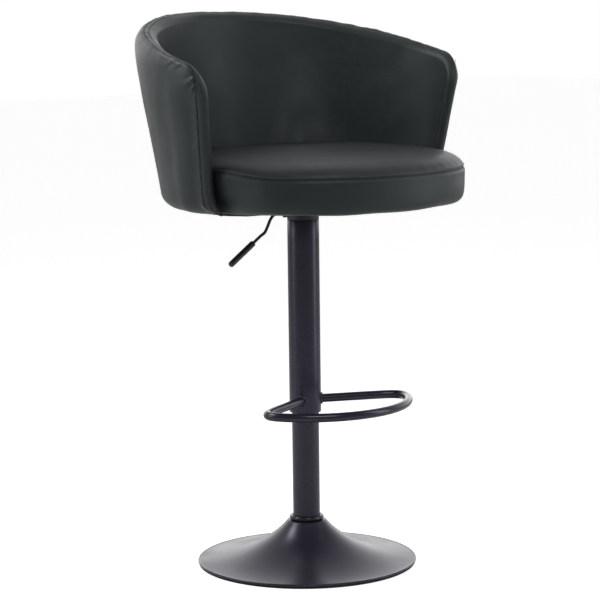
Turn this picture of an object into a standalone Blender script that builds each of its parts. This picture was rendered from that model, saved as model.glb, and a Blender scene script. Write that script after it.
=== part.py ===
"""Swivel bar stool with a footrest: a spun trumpet base, a gas-sprung column,
a footrest hoop and an upholstered tub seat.

Frame: origin on the floor at the column's axis, +Z up, the sitter faces -Y.
All lengths in metres.
"""
import math

import bmesh
import bpy
from mathutils import Matrix, Vector

# ---------------------------------------------------------------- dimensions
GAP = 0.0003                 # clearance between pieces that touch

BASE_R = 0.205               # trumpet base
BASE_RIM_Z = 0.0075
BASE_SHEET = 0.0016
NECK_R = 0.0300
NECK_Z = 0.0820
FLOOR_RING_H = 0.0040
WEIGHT_R = 0.180

STAND_R = 0.0252             # fixed lower tube
STAND_WALL = 0.0020
STAND_BOTTOM = 0.0200
STAND_TOP = 0.4000

TUBE_R = 0.0295              # sliding outer tube
TUBE_WALL = 0.0016
TUBE_BOTTOM = 0.2875
TUBE_TOP = 0.6480
LIFT_STROKE = 0.190

ROD_R = 0.0050               # gas spring
CYL_R = 0.0140
CYL_WALL = 0.0018
CYL_BOTTOM = 0.2500
CYL_TOP = 0.6540
BUTTON_R = 0.0040
BUTTON_TOP = 0.6608
BUTTON_TRAVEL = 0.0040

HOOP_R = 0.0080              # footrest hoop
HOOP_Z = 0.3114
HOOP_ATTACH = math.radians(55.0)
HOOP_LEG = 0.161
HOOP_LEG_DIR = math.radians(65.6)
HOOP_FRONT = 0.200
HOOP_SOFTEN = 0.026

PLATE_Z0, PLATE_Z1 = 0.6717, 0.6747      # seat plate
PLATE_X, PLATE_Y = 0.170, 0.200
DUST_Z0, DUST_Z1 = 0.6750, 0.6762        # dust cover
BOARD_Z0, BOARD_Z1 = 0.6765, 0.6865      # plywood seat board
CUSHION_Z0 = 0.6868
CUSHION_SEAM_Z = 0.7440
CUSHION_TOP_Z = 0.7850
CUSHION_FRONT_R = 0.2720

SHELL_C = 0.029              # the tub is centred this far ahead of the column
SHELL_R = 0.2890             # its outer radius at SHELL_RZ
SHELL_RZ = 0.770
SHELL_FLARE = 0.166          # radius gained per metre of height
SHELL_Z0 = 0.6755
SHELL_ROUND = 0.0260         # radius under the lower edge
SHELL_TOP = 1.029            # height of the crest at the middle of the back
SHELL_FALL = 0.076           # how far the crest falls towards the arms
SHELL_END = math.radians(101.3)
SEAM_END = math.radians(99.4)
SEAM_DROP = 0.015            # the outer seam lies this far below the crest
PANEL_T = 0.0080             # outer padded cover
CORE_T = 0.0080              # bent plywood
ARM_CORNER = 0.042
ARM_LEAN = 0.21              # the arm fronts lean forwards with height

LEVER_F = 0.015              # the lever lies in this plane, ahead of the axis
LEVER_R = 0.0028
LEVER_Z = 0.6640
LEVER_PIVOT_X = -0.046
GRIP_R = 0.0056


# ------------------------------------------------------------------- helpers
def clear_scene():
    for obj in list(bpy.data.objects):
        bpy.data.objects.remove(obj, do_unlink=True)


def material(name, color, roughness, metallic):
    mat = bpy.data.materials.new(name)
    mat.use_nodes = True
    bsdf = mat.node_tree.nodes["Principled BSDF"]
    bsdf.inputs["Base Color"].default_value = (*color, 1.0)
    bsdf.inputs["Roughness"].default_value = roughness
    bsdf.inputs["Metallic"].default_value = metallic
    mat.diffuse_color = (*color, 1.0)
    return mat


def finish_mesh(name, bm, mat, smooth=35.0):
    bmesh.ops.recalc_face_normals(bm, faces=bm.faces)
    mesh = bpy.data.meshes.new(name)
    bm.to_mesh(mesh)
    bm.free()
    obj = bpy.data.objects.new(name, mesh)
    bpy.context.scene.collection.objects.link(obj)
    if mat is not None:
        mesh.materials.append(mat)
    if smooth:
        mesh.shade_smooth()
        mesh.set_sharp_from_angle(angle=math.radians(smooth))
    return obj


def lathe(name, profile, mat, segments=28, center=(0.0, 0.0)):
    """A closed profile of (radius, height) points turned about the upright axis."""
    bm = bmesh.new()
    verts = [bm.verts.new((r, 0.0, z)) for r, z in profile]
    n = len(verts)
    edges = []
    for i in range(n):
        a, b = verts[i], verts[(i + 1) % n]
        if profile[i][0] < 1e-7 and profile[(i + 1) % n][0] < 1e-7:
            continue
        edges.append(bm.edges.new((a, b)))
    bmesh.ops.spin(
        bm, geom=edges, cent=(0, 0, 0), axis=(0, 0, 1), dvec=(0, 0, 0),
        angle=2 * math.pi, steps=segments, use_merge=True, use_normal_flip=False,
        use_duplicate=False,
    )
    bmesh.ops.remove_doubles(bm, verts=bm.verts, dist=1e-6)
    obj = finish_mesh(name, bm, mat)
    obj.location = (center[0], center[1], 0.0)
    return obj


def tube_profile(r_in, r_out, z0, z1, bevel=0.0):
    if bevel:
        return [
            (r_in, z0), (r_out - bevel, z0), (r_out, z0 + bevel),
            (r_out, z1 - bevel), (r_out - bevel, z1), (r_in, z1),
        ]
    return [(r_in, z0), (r_out, z0), (r_out, z1), (r_in, z1)]


def hide_cutter(obj):
    obj.hide_render = True
    obj.display_type = "WIRE"
    obj.hide_set(True)
    return obj


def boolean(obj, cutter, operation="DIFFERENCE"):
    mod = obj.modifiers.new(operation.lower() + "_" + cutter.name, "BOOLEAN")
    mod.operation = operation
    mod.solver = "EXACT"
    mod.object = cutter
    hide_cutter(cutter)


def cylinder_between(name, a, b, radius, mat=None, segments=16):
    a, b = Vector(a), Vector(b)
    bm = bmesh.new()
    bmesh.ops.create_cone(
        bm, cap_ends=True, cap_tris=False, segments=segments,
        radius1=radius, radius2=radius, depth=(b - a).length,
    )
    turn = (b - a).to_track_quat("Z", "Y").to_matrix().to_4x4()
    bmesh.ops.transform(bm, matrix=turn, verts=bm.verts)
    obj = finish_mesh(name, bm, mat)
    obj.location = (a + b) / 2
    return obj


def box_solid(name, size, center, mat=None, angle=0.0, bevel=0.0):
    bm = bmesh.new()
    bmesh.ops.create_cube(bm, size=1.0)
    bmesh.ops.scale(bm, vec=size, verts=bm.verts)
    if bevel:
        upright = [e for e in bm.edges if abs(e.verts[0].co.z - e.verts[1].co.z) > 1e-6]
        bmesh.ops.bevel(bm, geom=upright, offset=bevel, segments=3, affect="EDGES", profile=0.5)
    obj = finish_mesh(name, bm, mat, smooth=0)
    obj.location = center
    obj.rotation_euler = (0, 0, angle)
    return obj


def ring_solid(name, rings, mat, smooth=50.0, caps=True, closed=False):
    """Rings of equal length joined one to the next; the end rings are filled."""
    bm = bmesh.new()
    made = [[bm.verts.new(p) for p in ring] for ring in rings]
    count = len(made[0])
    pairs = list(zip(made, made[1:]))
    if closed:
        pairs.append((made[-1], made[0]))
    for a, b in pairs:
        for i in range(count):
            j = (i + 1) % count
            bm.faces.new((a[i], a[j], b[j], b[i]))
    if caps and not closed:
        bm.faces.new(made[0])
        bm.faces.new(list(reversed(made[-1])))
    return finish_mesh(name, bm, mat, smooth)


# ----------------------------------------------------------- shape functions
def smooth01(x):
    x = min(1.0, max(0.0, x))
    return x * x * (3 - 2 * x)


def shell_radius(z):
    return SHELL_R + SHELL_FLARE * (z - SHELL_RZ)


def crest(psi):
    return SHELL_TOP - SHELL_FALL * (1 - math.cos(psi))


def shell_thickness(psi):
    """Padded thickness: full at the back, thinner towards the arm fronts."""
    return 0.044 - 0.022 * smooth01((abs(psi) - math.radians(55)) / math.radians(45))


def shell_point(psi, inset, z):
    """A point of the tub wall: psi is measured from the middle of the back."""
    r = shell_radius(z) - inset
    psi *= 1 + ARM_LEAN * (z - 0.780)
    return (r * math.sin(psi), -(SHELL_C - r * math.cos(psi)), z)


def arc_points(cx, cz, r, a0, a1, n):
    return [
        (cx + r * math.cos(a0 + (a1 - a0) * i / n), cz + r * math.sin(a0 + (a1 - a0) * i / n))
        for i in range(n + 1)
    ]


def wall_section(top, thick, squeeze=1.0):
    """Closed outline of the whole padded wall as (inset, height) points."""
    mid = thick / 2
    roll = min(0.020, thick / 2)
    pts = []
    pts += arc_points(SHELL_ROUND, SHELL_Z0 + SHELL_ROUND, SHELL_ROUND, 1.5 * math.pi, math.pi, 4)
    for k in range(1, 4):
        pts.append((0.0, SHELL_Z0 + SHELL_ROUND + (top - 0.022 - SHELL_Z0 - SHELL_ROUND) * k / 4))
    crown = arc_points(mid, top - 0.022, 1.0, math.pi, 0.0, 7)
    pts += [(mid + (x - mid) * mid, top - 0.022 + (z - top + 0.022) * 0.022) for x, z in crown]
    for k in range(1, 4):
        pts.append((thick, top - 0.022 - (top - 0.022 - SHELL_Z0 - 0.012) * k / 4))
    pts.append((max(thick, SHELL_ROUND + 0.002), SHELL_Z0 + 0.0119))
    pts.append((max(thick, SHELL_ROUND + 0.002), SHELL_Z0))
    return [(mid + (x - mid) * squeeze, z) for x, z in pts]


def tub_wall(name, mat, steps=32):
    rings = []
    nose = 0.0105
    stations = [i / steps for i in range(steps + 1)]
    angles = [(-1 + 2 * s) * (SHELL_END - nose / SHELL_R) for s in stations]
    extra = [0.35, 0.65, 0.86, 0.965, 0.995]
    ends = [SHELL_END - nose / SHELL_R * (1 - e) for e in extra]
    angles = [-a for a in reversed(ends)] + angles + ends
    for psi in angles:
        ahead = (SHELL_END - abs(psi)) * SHELL_R
        squeeze = 1.0
        if ahead < nose:
            e = 1 - ahead / nose
            squeeze = math.sqrt(max(0.0, 1 - e * e))
        top = crest(psi) - 0.002
        if ahead < ARM_CORNER:
            top -= ARM_CORNER - math.sqrt(ARM_CORNER ** 2 - (ARM_CORNER - ahead) ** 2)
        rings.append([shell_point(psi, d, z) for d, z in wall_section(top, shell_thickness(psi), squeeze)])
    return ring_solid(name, rings, mat)


def panel_section(top, outer, inner, z_low, curl):
    """Section of a layer lying between two insets, curling under if asked."""
    if curl:
        zc = SHELL_Z0 + SHELL_ROUND
        out = arc_points(SHELL_ROUND, zc, SHELL_ROUND - outer, 1.5 * math.pi, math.pi, 4)
        back = arc_points(SHELL_ROUND, zc, SHELL_ROUND - inner, math.pi, 1.5 * math.pi, 4)
    else:
        zc = z_low
        out = [(outer, z_low)]
        back = [(inner, z_low)]
    up = [(outer, zc + (top - zc) * k / 4) for k in range(1, 5)]
    down = [(inner, top - (top - zc) * k / 4) for k in range(0, 4)]
    return out + up + down + back


def layer_top(psi, drop):
    ahead = (SHELL_END - abs(psi)) * SHELL_R
    top = crest(psi) - 0.002 - drop
    if ahead < ARM_CORNER:
        top -= ARM_CORNER - math.sqrt(ARM_CORNER ** 2 - (ARM_CORNER - ahead) ** 2)
    return top


def wall_layer(name, mat, outer, inner, drop, end, z_low=0.0, curl=False, steps=32):
    rings = []
    for i in range(steps + 1):
        psi = (-1 + 2 * i / steps) * end
        rings.append([
            shell_point(psi, d, z)
            for d, z in panel_section(layer_top(psi, drop), outer, inner, z_low, curl)
        ])
    return ring_solid(name, rings, mat)


def hoop_path(count=48):
    """Half-plan of the footrest hoop, softened at its corners, then mirrored."""
    s = Vector((0.029 * math.sin(HOOP_ATTACH), 0.029 * math.cos(HOOP_ATTACH)))
    v = s + HOOP_LEG * Vector((math.sin(HOOP_LEG_DIR), math.cos(HOOP_LEG_DIR)))
    # circle through both corners and the middle of the front bar
    sag = HOOP_FRONT - v.y
    radius = (v.x ** 2 + sag ** 2) / (2 * sag)
    half = math.asin(v.x / radius)
    right = [s + (v - s) * k / 40 for k in range(41)]
    front = [
        Vector((radius * math.sin(half * (1 - k / 40)), HOOP_FRONT - radius + radius * math.cos(half * (1 - k / 40))))
        for k in range(1, 81)
    ]
    left = [Vector((-p.x, p.y)) for p in reversed(right[:-1])]
    raw = right + front + left
    # equal spacing
    total = [0.0]
    for a, b in zip(raw, raw[1:]):
        total.append(total[-1] + (b - a).length)

    def at(d):
        d = min(max(d, 0.0), total[-1])
        for i in range(len(raw) - 1):
            if total[i + 1] >= d:
                k = (d - total[i]) / max(1e-9, total[i + 1] - total[i])
                return raw[i] + (raw[i + 1] - raw[i]) * k
        return raw[-1]

    start_dir = (v - s).normalized()
    def extended(d):
        if d < 0:
            return s + start_dir * d
        if d > total[-1]:
            p = s + start_dir * (total[-1] - d)
            return Vector((-p.x, p.y))
        return at(d)

    path = []
    for i in range(count + 1):
        d = -0.012 + (total[-1] + 0.024) * i / count
        acc, wsum = Vector((0.0, 0.0)), 0.0
        for k in range(-12, 13):
            off = k / 12 * 2.5 * HOOP_SOFTEN
            w = math.exp(-0.5 * (off / HOOP_SOFTEN) ** 2)
            acc += extended(d + off) * w
            wsum += w
        path.append(acc / wsum)
    return path


def tube_curve(name, points, radius, mat, resolution=3, mesh_object=True):
    curve = bpy.data.curves.new(name, "CURVE")
    curve.dimensions = "3D"
    curve.bevel_depth = radius
    curve.bevel_resolution = resolution
    curve.use_fill_caps = True
    spline = curve.splines.new("POLY")
    spline.points.add(len(points) - 1)
    for p, co in zip(spline.points, points):
        p.co = (*co, 1.0)
    obj = bpy.data.objects.new(name + ("_guide" if mesh_object else ""), curve)
    bpy.context.scene.collection.objects.link(obj)
    if not mesh_object:
        curve.materials.append(mat)
        return obj
    bpy.context.view_layer.update()
    graph = bpy.context.evaluated_depsgraph_get()
    mesh = bpy.data.meshes.new_from_object(obj.evaluated_get(graph))
    bpy.data.objects.remove(obj)
    mesh.name = name
    solid = bpy.data.objects.new(name, mesh)
    bpy.context.scene.collection.objects.link(solid)
    bm = bmesh.new()
    bm.from_mesh(mesh)
    bmesh.ops.remove_doubles(bm, verts=bm.verts, dist=1e-6)
    bmesh.ops.recalc_face_normals(bm, faces=bm.faces)
    bm.to_mesh(mesh)
    bm.free()
    mesh.materials.clear()
    if mat is not None:
        mesh.materials.append(mat)
    mesh.shade_smooth()
    mesh.set_sharp_from_angle(angle=math.radians(40))
    return solid


def catmull(points, per=6):
    pts = [Vector(p) for p in points]
    pts = [2 * pts[0] - pts[1]] + pts + [2 * pts[-1] - pts[-2]]
    out = []
    for i in range(1, len(pts) - 2):
        p0, p1, p2, p3 = pts[i - 1:i + 3]
        for k in range(per):
            t = k / per
            out.append(0.5 * ((2 * p1) + (p2 - p0) * t + (2 * p0 - 5 * p1 + 4 * p2 - p3) * t * t + (3 * p1 - p0 - 3 * p2 + p3) * t ** 3))
    out.append(pts[-2])
    return out


def cushion_radius(phi, z):
    """Plan radius of the seat about the tub's centre; phi is measured from the front."""
    psi = math.pi - abs(phi)
    inside = shell_radius(min(z, 0.765)) - shell_thickness(psi) - 0.0032
    ahead = smooth01((math.radians(77.0) - abs(phi)) / math.radians(17.0))
    front = CUSHION_FRONT_R + 0.0070 * math.sin(2 * phi) ** 2
    return inside * (1 - ahead) + front * ahead


def cushion_solid(name, mat, around=48):
    rows = [  # (height, share of the plan radius, crown share)
        (CUSHION_Z0, 0.930), (0.6895, 0.972), (0.6980, 0.993), (0.7200, 1.000),
        (CUSHION_SEAM_Z, 1.000), (0.7580, 0.975), (0.7690, 0.925), (0.7780, 0.80),
        (0.7835, 0.55), (CUSHION_TOP_Z, 0.28),
    ]
    rings = []
    for z, share in rows:
        ring = []
        for i in range(around):
            phi = -math.pi + 2 * math.pi * i / around
            r = cushion_radius(phi, z) * share
            ring.append((r * math.sin(phi), -(SHELL_C + r * math.cos(phi)), z))
        rings.append(ring)
    return ring_solid(name, rings, mat)


# ------------------------------------------------------------------ materials
clear_scene()
black_steel = (0.030, 0.029, 0.034)
M_BASE = material("base_powder_coat", black_steel, 0.42, 0.5)
M_STAND = material("column_powder_coat", black_steel, 0.40, 0.5)
M_RING = material("trim_ring_coat", (0.022, 0.022, 0.025), 0.35, 0.3)
M_HOOP = material("hoop_powder_coat", black_steel, 0.38, 0.5)
M_RUBBER = material("black_rubber", (0.015, 0.015, 0.015), 0.85, 0.0)
M_IRON = material("cast_iron", (0.09, 0.09, 0.09), 0.7, 0.8)
M_STEEL = material("zinc_steel", (0.45, 0.46, 0.47), 0.35, 1.0)
M_CHROME = material("rod_chrome", (0.7, 0.7, 0.72), 0.12, 1.0)
M_CYL = material("gas_cylinder_black", (0.03, 0.03, 0.03), 0.45, 0.6)
M_NYLON = material("black_nylon", (0.02, 0.02, 0.02), 0.5, 0.0)
M_ACETAL = material("white_acetal", (0.7, 0.7, 0.68), 0.45, 0.0)
M_PLATE = material("seat_plate_black", (0.025, 0.025, 0.025), 0.5, 0.5)
M_PLY = material("birch_plywood", (0.55, 0.40, 0.24), 0.6, 0.0)
M_DUST = material("dust_cover_cloth", (0.012, 0.012, 0.012), 0.95, 0.0)
M_LEATHER = material("seat_leather", (0.045, 0.051, 0.052), 0.45, 0.0)
M_LEATHER_BACK = material("back_leather", (0.045, 0.051, 0.052), 0.45, 0.0)
M_LEATHER_ROLL = material("roll_leather", (0.045, 0.051, 0.052), 0.45, 0.0)
M_GRIP = material("grip_plastic", (0.018, 0.018, 0.018), 0.45, 0.0)
M_LEVER = material("lever_steel", (0.05, 0.05, 0.055), 0.35, 0.8)


# ----------------------------------------------------------------- the base
def bell_height(r):
    k = max(0.0, (BASE_R - r) / (BASE_R - NECK_R))
    return BASE_RIM_Z + 0.0447 * k ** 1.64 + 0.0367 * math.exp(-(r - NECK_R) / 0.0402)


stations = [NECK_R + (BASE_R - NECK_R) * (i / 9) ** 1.2 for i in range(10)]
outer = [(r, bell_height(r)) for r in stations if bell_height(r) < NECK_Z - 0.0012]
inner = []
for i, (r, z) in enumerate(outer):
    a, b = outer[max(0, i - 1)], outer[min(len(outer) - 1, i + 1)]
    t = Vector((b[0] - a[0], b[1] - a[1])).normalized()
    inner.append((r + t.y * BASE_SHEET, z - t.x * BASE_SHEET))
neck_in = STAND_R + GAP
outer = [(NECK_R + 0.0005, NECK_Z), (outer[0][0] - 0.0022, NECK_Z - 0.0004)] + outer
inner = [(neck_in, NECK_Z), (neck_in, NECK_Z - 0.0030)] + [p for p in inner if p[1] < NECK_Z - 0.0032 and p[0] < BASE_R - 0.004]
rim = [(BASE_R, BASE_RIM_Z - 0.0025), (BASE_R - 0.0010, FLOOR_RING_H + GAP), (BASE_R - 0.0035, FLOOR_RING_H + GAP), (BASE_R - 0.0035, BASE_RIM_Z - 0.002)]
lathe("base_bell", outer + rim + list(reversed(inner)), M_BASE, segments=40)
lathe("base_floor_ring", [(0.172, 0.0), (BASE_R - 0.0025, 0.0), (BASE_R - 0.0015, 0.0012), (BASE_R - 0.0015, FLOOR_RING_H), (0.172, FLOOR_RING_H)], M_RUBBER, segments=40)
hub_out = 0.0330
lathe("base_weight", [(hub_out + GAP, FLOOR_RING_H + 0.0010), (0.1980, FLOOR_RING_H + 0.0010), (0.1980, 0.0058), (0.1500, 0.0090), (0.0900, 0.0150), (hub_out + GAP, 0.0190)], M_IRON, segments=28)
lathe("base_hub", [(0.0, 0.0045), (hub_out, 0.0045), (hub_out, 0.0500), (STAND_R + GAP, 0.0500), (STAND_R + GAP, STAND_BOTTOM - GAP), (0.0140, STAND_BOTTOM - GAP), (0.0140, 0.0085), (0.0, 0.0085)], M_STEEL, segments=28)
ring = arc_points(0.0290, NECK_Z + GAP + 0.0042, 1.0, -0.5 * math.pi, 0.5 * math.pi, 6)
lathe("neck_trim_ring", [(STAND_R + 0.0010, NECK_Z + GAP)] + [(0.0290 + (x - 0.0290) * 0.0032, NECK_Z + GAP + 0.0042 + (z - NECK_Z - GAP - 0.0042) * 0.0042) for x, z in ring] + [(STAND_R + 0.0010, NECK_Z + GAP + 0.0084)], M_RING, segments=28)

# -------------------------------------------------------------- fixed column
lathe("stand_tube", tube_profile(STAND_R - STAND_WALL, STAND_R, STAND_BOTTOM, STAND_TOP, 0.0006), M_STAND, segments=28)
bush_out = STAND_R - STAND_WALL - GAP
lathe("stand_guide_bush", tube_profile(CYL_R + 0.0003, bush_out, STAND_TOP - 0.090, STAND_TOP - 0.001), M_NYLON, segments=28)
lathe("stand_floor_plate", tube_profile(ROD_R + 0.0005, bush_out, 0.0290, 0.0330), M_STEEL, segments=28)
lathe("thrust_washer_lower", tube_profile(ROD_R + 0.0005, 0.0120, 0.0333, 0.0345), M_STEEL, segments=28)
lathe("thrust_bearing_cage", tube_profile(ROD_R + 0.0005, 0.0120, 0.0348, 0.0378), M_ACETAL, segments=28)

# ----------------------------------------------------- rod, turns in the base
lathe("piston_rod", [(0.0, 0.0215), (0.0035, 0.0215), (0.0035, 0.0240), (0.0028, 0.0242), (0.0028, 0.0268), (ROD_R, 0.0270), (ROD_R, 0.2740), (0.0, 0.2740)], M_CHROME, segments=20)
lathe("rod_retaining_clip", tube_profile(0.0031, 0.0085, 0.0248, 0.0262), M_STEEL, segments=24)
lathe("thrust_washer_upper", tube_profile(ROD_R + 0.0003, 0.0120, 0.0381, 0.0393), M_STEEL, segments=28)
lathe("rod_bump_stop", tube_profile(ROD_R + 0.0003, 0.0110, 0.0396, 0.0480, 0.0008), M_RUBBER, segments=24)
lathe("gas_piston", [(0.0, 0.2743), (CYL_R - CYL_WALL - 0.0006, 0.2743), (CYL_R - CYL_WALL - 0.0006, 0.2823), (0.0, 0.2823)], M_ACETAL, segments=24)

# ------------------------------------------------------- gas cylinder, tube
valve_r = BUTTON_R + 0.0004
lathe("gas_cylinder", [
    (ROD_R + 0.0004, CYL_BOTTOM), (CYL_R - 0.001, CYL_BOTTOM), (CYL_R, CYL_BOTTOM + 0.001), (CYL_R, CYL_TOP - 0.060), (CYL_R - 0.0012, CYL_TOP),
    (valve_r, CYL_TOP), (valve_r, CYL_TOP - 0.0145), (0.0, CYL_TOP - 0.0145), (0.0, CYL_TOP - 0.0185), (CYL_R - CYL_WALL, CYL_TOP - 0.0185), (CYL_R - CYL_WALL, CYL_BOTTOM + 0.0120),
    (ROD_R + 0.0004, CYL_BOTTOM + 0.0120)], M_CYL, segments=28)
lathe("release_button", [(0.0, CYL_TOP - 0.0075), (BUTTON_R, CYL_TOP - 0.0075), (BUTTON_R, BUTTON_TOP - 0.0006), (BUTTON_R - 0.0008, BUTTON_TOP), (0.0, BUTTON_TOP)], M_STEEL, segments=20)
lathe("outer_tube", tube_profile(TUBE_R - TUBE_WALL, TUBE_R, TUBE_BOTTOM, TUBE_TOP, 0.0005), M_STAND, segments=28)
lathe("tube_glide_bush", tube_profile(STAND_R + 0.0003, TUBE_R - TUBE_WALL - GAP, TUBE_BOTTOM + 0.0006, TUBE_BOTTOM + 0.0500), M_NYLON, segments=28)
cone = lathe("seat_cone", [
    (CYL_R + GAP, 0.5950), (0.0200, 0.5950), (0.0200, 0.6100), (TUBE_R - TUBE_WALL - GAP, 0.6130), (TUBE_R - TUBE_WALL - GAP, TUBE_TOP + 0.0006), (TUBE_R, TUBE_TOP + 0.0009),
    (TUBE_R, PLATE_Z0 - GAP), (CYL_R + GAP, PLATE_Z0 - GAP)], M_PLATE, segments=28)

hoop = tube_curve("footrest_hoop", [(p.x, -p.y, HOOP_Z) for p in hoop_path()], HOOP_R, M_HOOP, resolution=2)
column_cut = cylinder_between("hoop_end_cutter", (0, 0, HOOP_Z - 0.03), (0, 0, HOOP_Z + 0.03), TUBE_R + GAP, segments=28)
boolean(hoop, column_cut)

# -------------------------------------------------- seat plate and its bolts
plate = box_solid("seat_plate", (PLATE_X, PLATE_Y, PLATE_Z1 - PLATE_Z0), (0, 0, (PLATE_Z0 + PLATE_Z1) / 2), M_PLATE, bevel=0.018)


def plan_solid(name, levels, rear_inset, mat, hole=0.0, around=40):
    """Solid with the cushion's plan, from (height, front radius) levels, lowest first."""
    z0, z1 = levels[0][0], levels[-1][0]
    rings = []
    for z, front_r in levels:
        ring = []
        for i in range(around):
            phi = -math.pi + 2 * math.pi * i / around
            rear = shell_radius(z0) - rear_inset
            ahead = smooth01((math.radians(77.0) - abs(phi)) / math.radians(17.0))
            r = rear * (1 - ahead) + front_r * ahead
            ring.append((r * math.sin(phi), -(SHELL_C + r * math.cos(phi)), z))
        rings.append(ring)
    obj = ring_solid(name, rings, mat)
    if hole:
        cut = cylinder_between(name + "_hole", (0, 0, z0 - 0.01), (0, 0, z1 + 0.01), hole, segments=24)
        boolean(obj, cut)
    return obj


board = plan_solid("seat_board", [(BOARD_Z0, 0.1650), (BOARD_Z0 + 0.0050, 0.2300), (BOARD_Z1, 0.2300)], 0.0456, M_PLY)
dust = plan_solid("dust_cover", [(DUST_Z0, 0.1600), (DUST_Z1, 0.1600)], 0.0460, M_DUST)
cushion = cushion_solid("seat_cushion", M_LEATHER)

BOLT_X, BOLT_Y = 0.068, 0.083
bolt_index = 0
for sx in (-1, 1):
    for sy in (-1, 1):
        bolt_index += 1
        x, y = sx * BOLT_X, sy * BOLT_Y
        lathe("plate_bolt_%d" % bolt_index, [(0.0, PLATE_Z0 - 0.0062), (0.0050, PLATE_Z0 - 0.0062), (0.0055, PLATE_Z0 - 0.0056), (0.0055, PLATE_Z0 - 0.0018), (0.0030, PLATE_Z0 - 0.0018), (0.0030, BOARD_Z1 - 0.0010), (0.0, BOARD_Z1 - 0.0010)], M_STEEL, segments=12, center=(x, y))
        lathe("plate_washer_%d" % bolt_index, tube_profile(0.0034, 0.0070, PLATE_Z0 - 0.0015, PLATE_Z0 - GAP), M_STEEL, segments=20, center=(x, y))
        for piece in (plate, board, dust):
            cut = cylinder_between("bolt_hole_%s_%d" % (piece.name, bolt_index), (x, y, 0.6600), (x, y, 0.6860), 0.0034, segments=12)
            boolean(piece, cut)

# ---------------------------------------------------------------- tub shell
pad = tub_wall("back_inner_pad", M_LEATHER_ROLL)
outer_panel = wall_layer("back_outer_panel", M_LEATHER_BACK, 0.0, PANEL_T, SEAM_DROP, SEAM_END, curl=True)
core_in = PANEL_T + GAP + CORE_T
core = wall_layer("back_plywood_core", M_PLY, PANEL_T + 2 * GAP, core_in, SEAM_DROP, SEAM_END, z_low=SHELL_Z0 + SHELL_ROUND)
pocket = wall_layer("pad_pocket_cutter", None, -0.0100, core_in + 3 * GAP, SEAM_DROP - 3 * GAP, SEAM_END + 0.0020, z_low=0.6500)
boolean(pad, pocket)
# a second, shallow cut clears the part of the outer cover that turns under
rings = []
for i in range(33):
    psi = (-1 + 2 * i / 32) * (SEAM_END + 0.0012)
    rings.append([shell_point(psi, d, z) for d, z in (
        (-0.0120, 0.6400), (SHELL_ROUND + 0.0010, 0.6400),
        (SHELL_ROUND + 0.0010, SHELL_Z0 + PANEL_T + 0.0009), (0.0215, SHELL_Z0 + PANEL_T + 0.0018),
        (0.0155, SHELL_Z0 + PANEL_T + 0.0048), (-0.0120, SHELL_Z0 + PANEL_T + 0.0048))])
curl_pocket = ring_solid("pad_curl_cutter", rings, None)
boolean(pad, curl_pocket)

# ------------------------------------- angle brackets holding back to board
leg_bottom = BOARD_Z1 + GAP
leg_r = shell_radius(BOARD_Z1) - core_in - 0.0020
lean = SHELL_FLARE * 0.0340 + 0.0008


def on_tub(radius, psi, z):
    return (radius * math.sin(psi), -(SHELL_C - radius * math.cos(psi)), z)


def notch_cutter(name, size, radius, z):
    """One cutter holding a box at each bracket."""
    bm = bmesh.new()
    for psi in BRACKET_ANGLES:
        made = bmesh.ops.create_cube(bm, size=1.0)["verts"]
        bmesh.ops.scale(bm, vec=size, verts=made)
        bmesh.ops.rotate(bm, cent=(0, 0, 0), matrix=Matrix.Rotation(-psi, 3, "Z"), verts=made)
        bmesh.ops.translate(bm, vec=on_tub(radius, psi, z), verts=made)
    return finish_mesh(name, bm, None, smooth=0)


BRACKET_ANGLES = (-math.radians(62), 0.0, math.radians(61))
boolean(pad, notch_cutter("pad_notches", (0.0330, 0.0700, 0.0700), leg_r - 0.0270, leg_bottom + 0.0003))
boolean(cushion, notch_cutter("cushion_notches", (0.0330, 0.0900, 0.0200), leg_r - 0.0100, leg_bottom - 0.0020))
for index, psi in enumerate(BRACKET_ANGLES, start=1):
    section = [(0.0, 0.0), (lean, 0.0340), (lean - 0.0022, 0.0340), (-0.0022, 0.0022), (-0.0500, 0.0022), (-0.0500, 0.0)]
    rings = []
    for side in (-0.015, 0.015):
        rings.append([(
            (leg_r + d) * math.sin(psi) + side * math.cos(psi),
            -(SHELL_C - (leg_r + d) * math.cos(psi)) - side * math.sin(psi),
            leg_bottom + z) for d, z in section])
    bracket = ring_solid("back_bracket_%d" % index, rings, M_STEEL, smooth=0)
    x, y, _ = on_tub(leg_r - 0.0360, psi, 0.0)
    lathe("bracket_screw_%d" % index, [(0.0, 0.6785), (0.0018, 0.6805), (0.0018, leg_bottom + 0.0025), (0.0040, leg_bottom + 0.0025), (0.0036, leg_bottom + 0.0040), (0.0, leg_bottom + 0.0044)], M_STEEL, segments=12, center=(x, y))
    for piece in (bracket, board):
        cut = cylinder_between("screw_hole_%s" % piece.name, (x, y, 0.6775), (x, y, 0.6960), 0.0021, segments=12)
        boolean(piece, cut)

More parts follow.
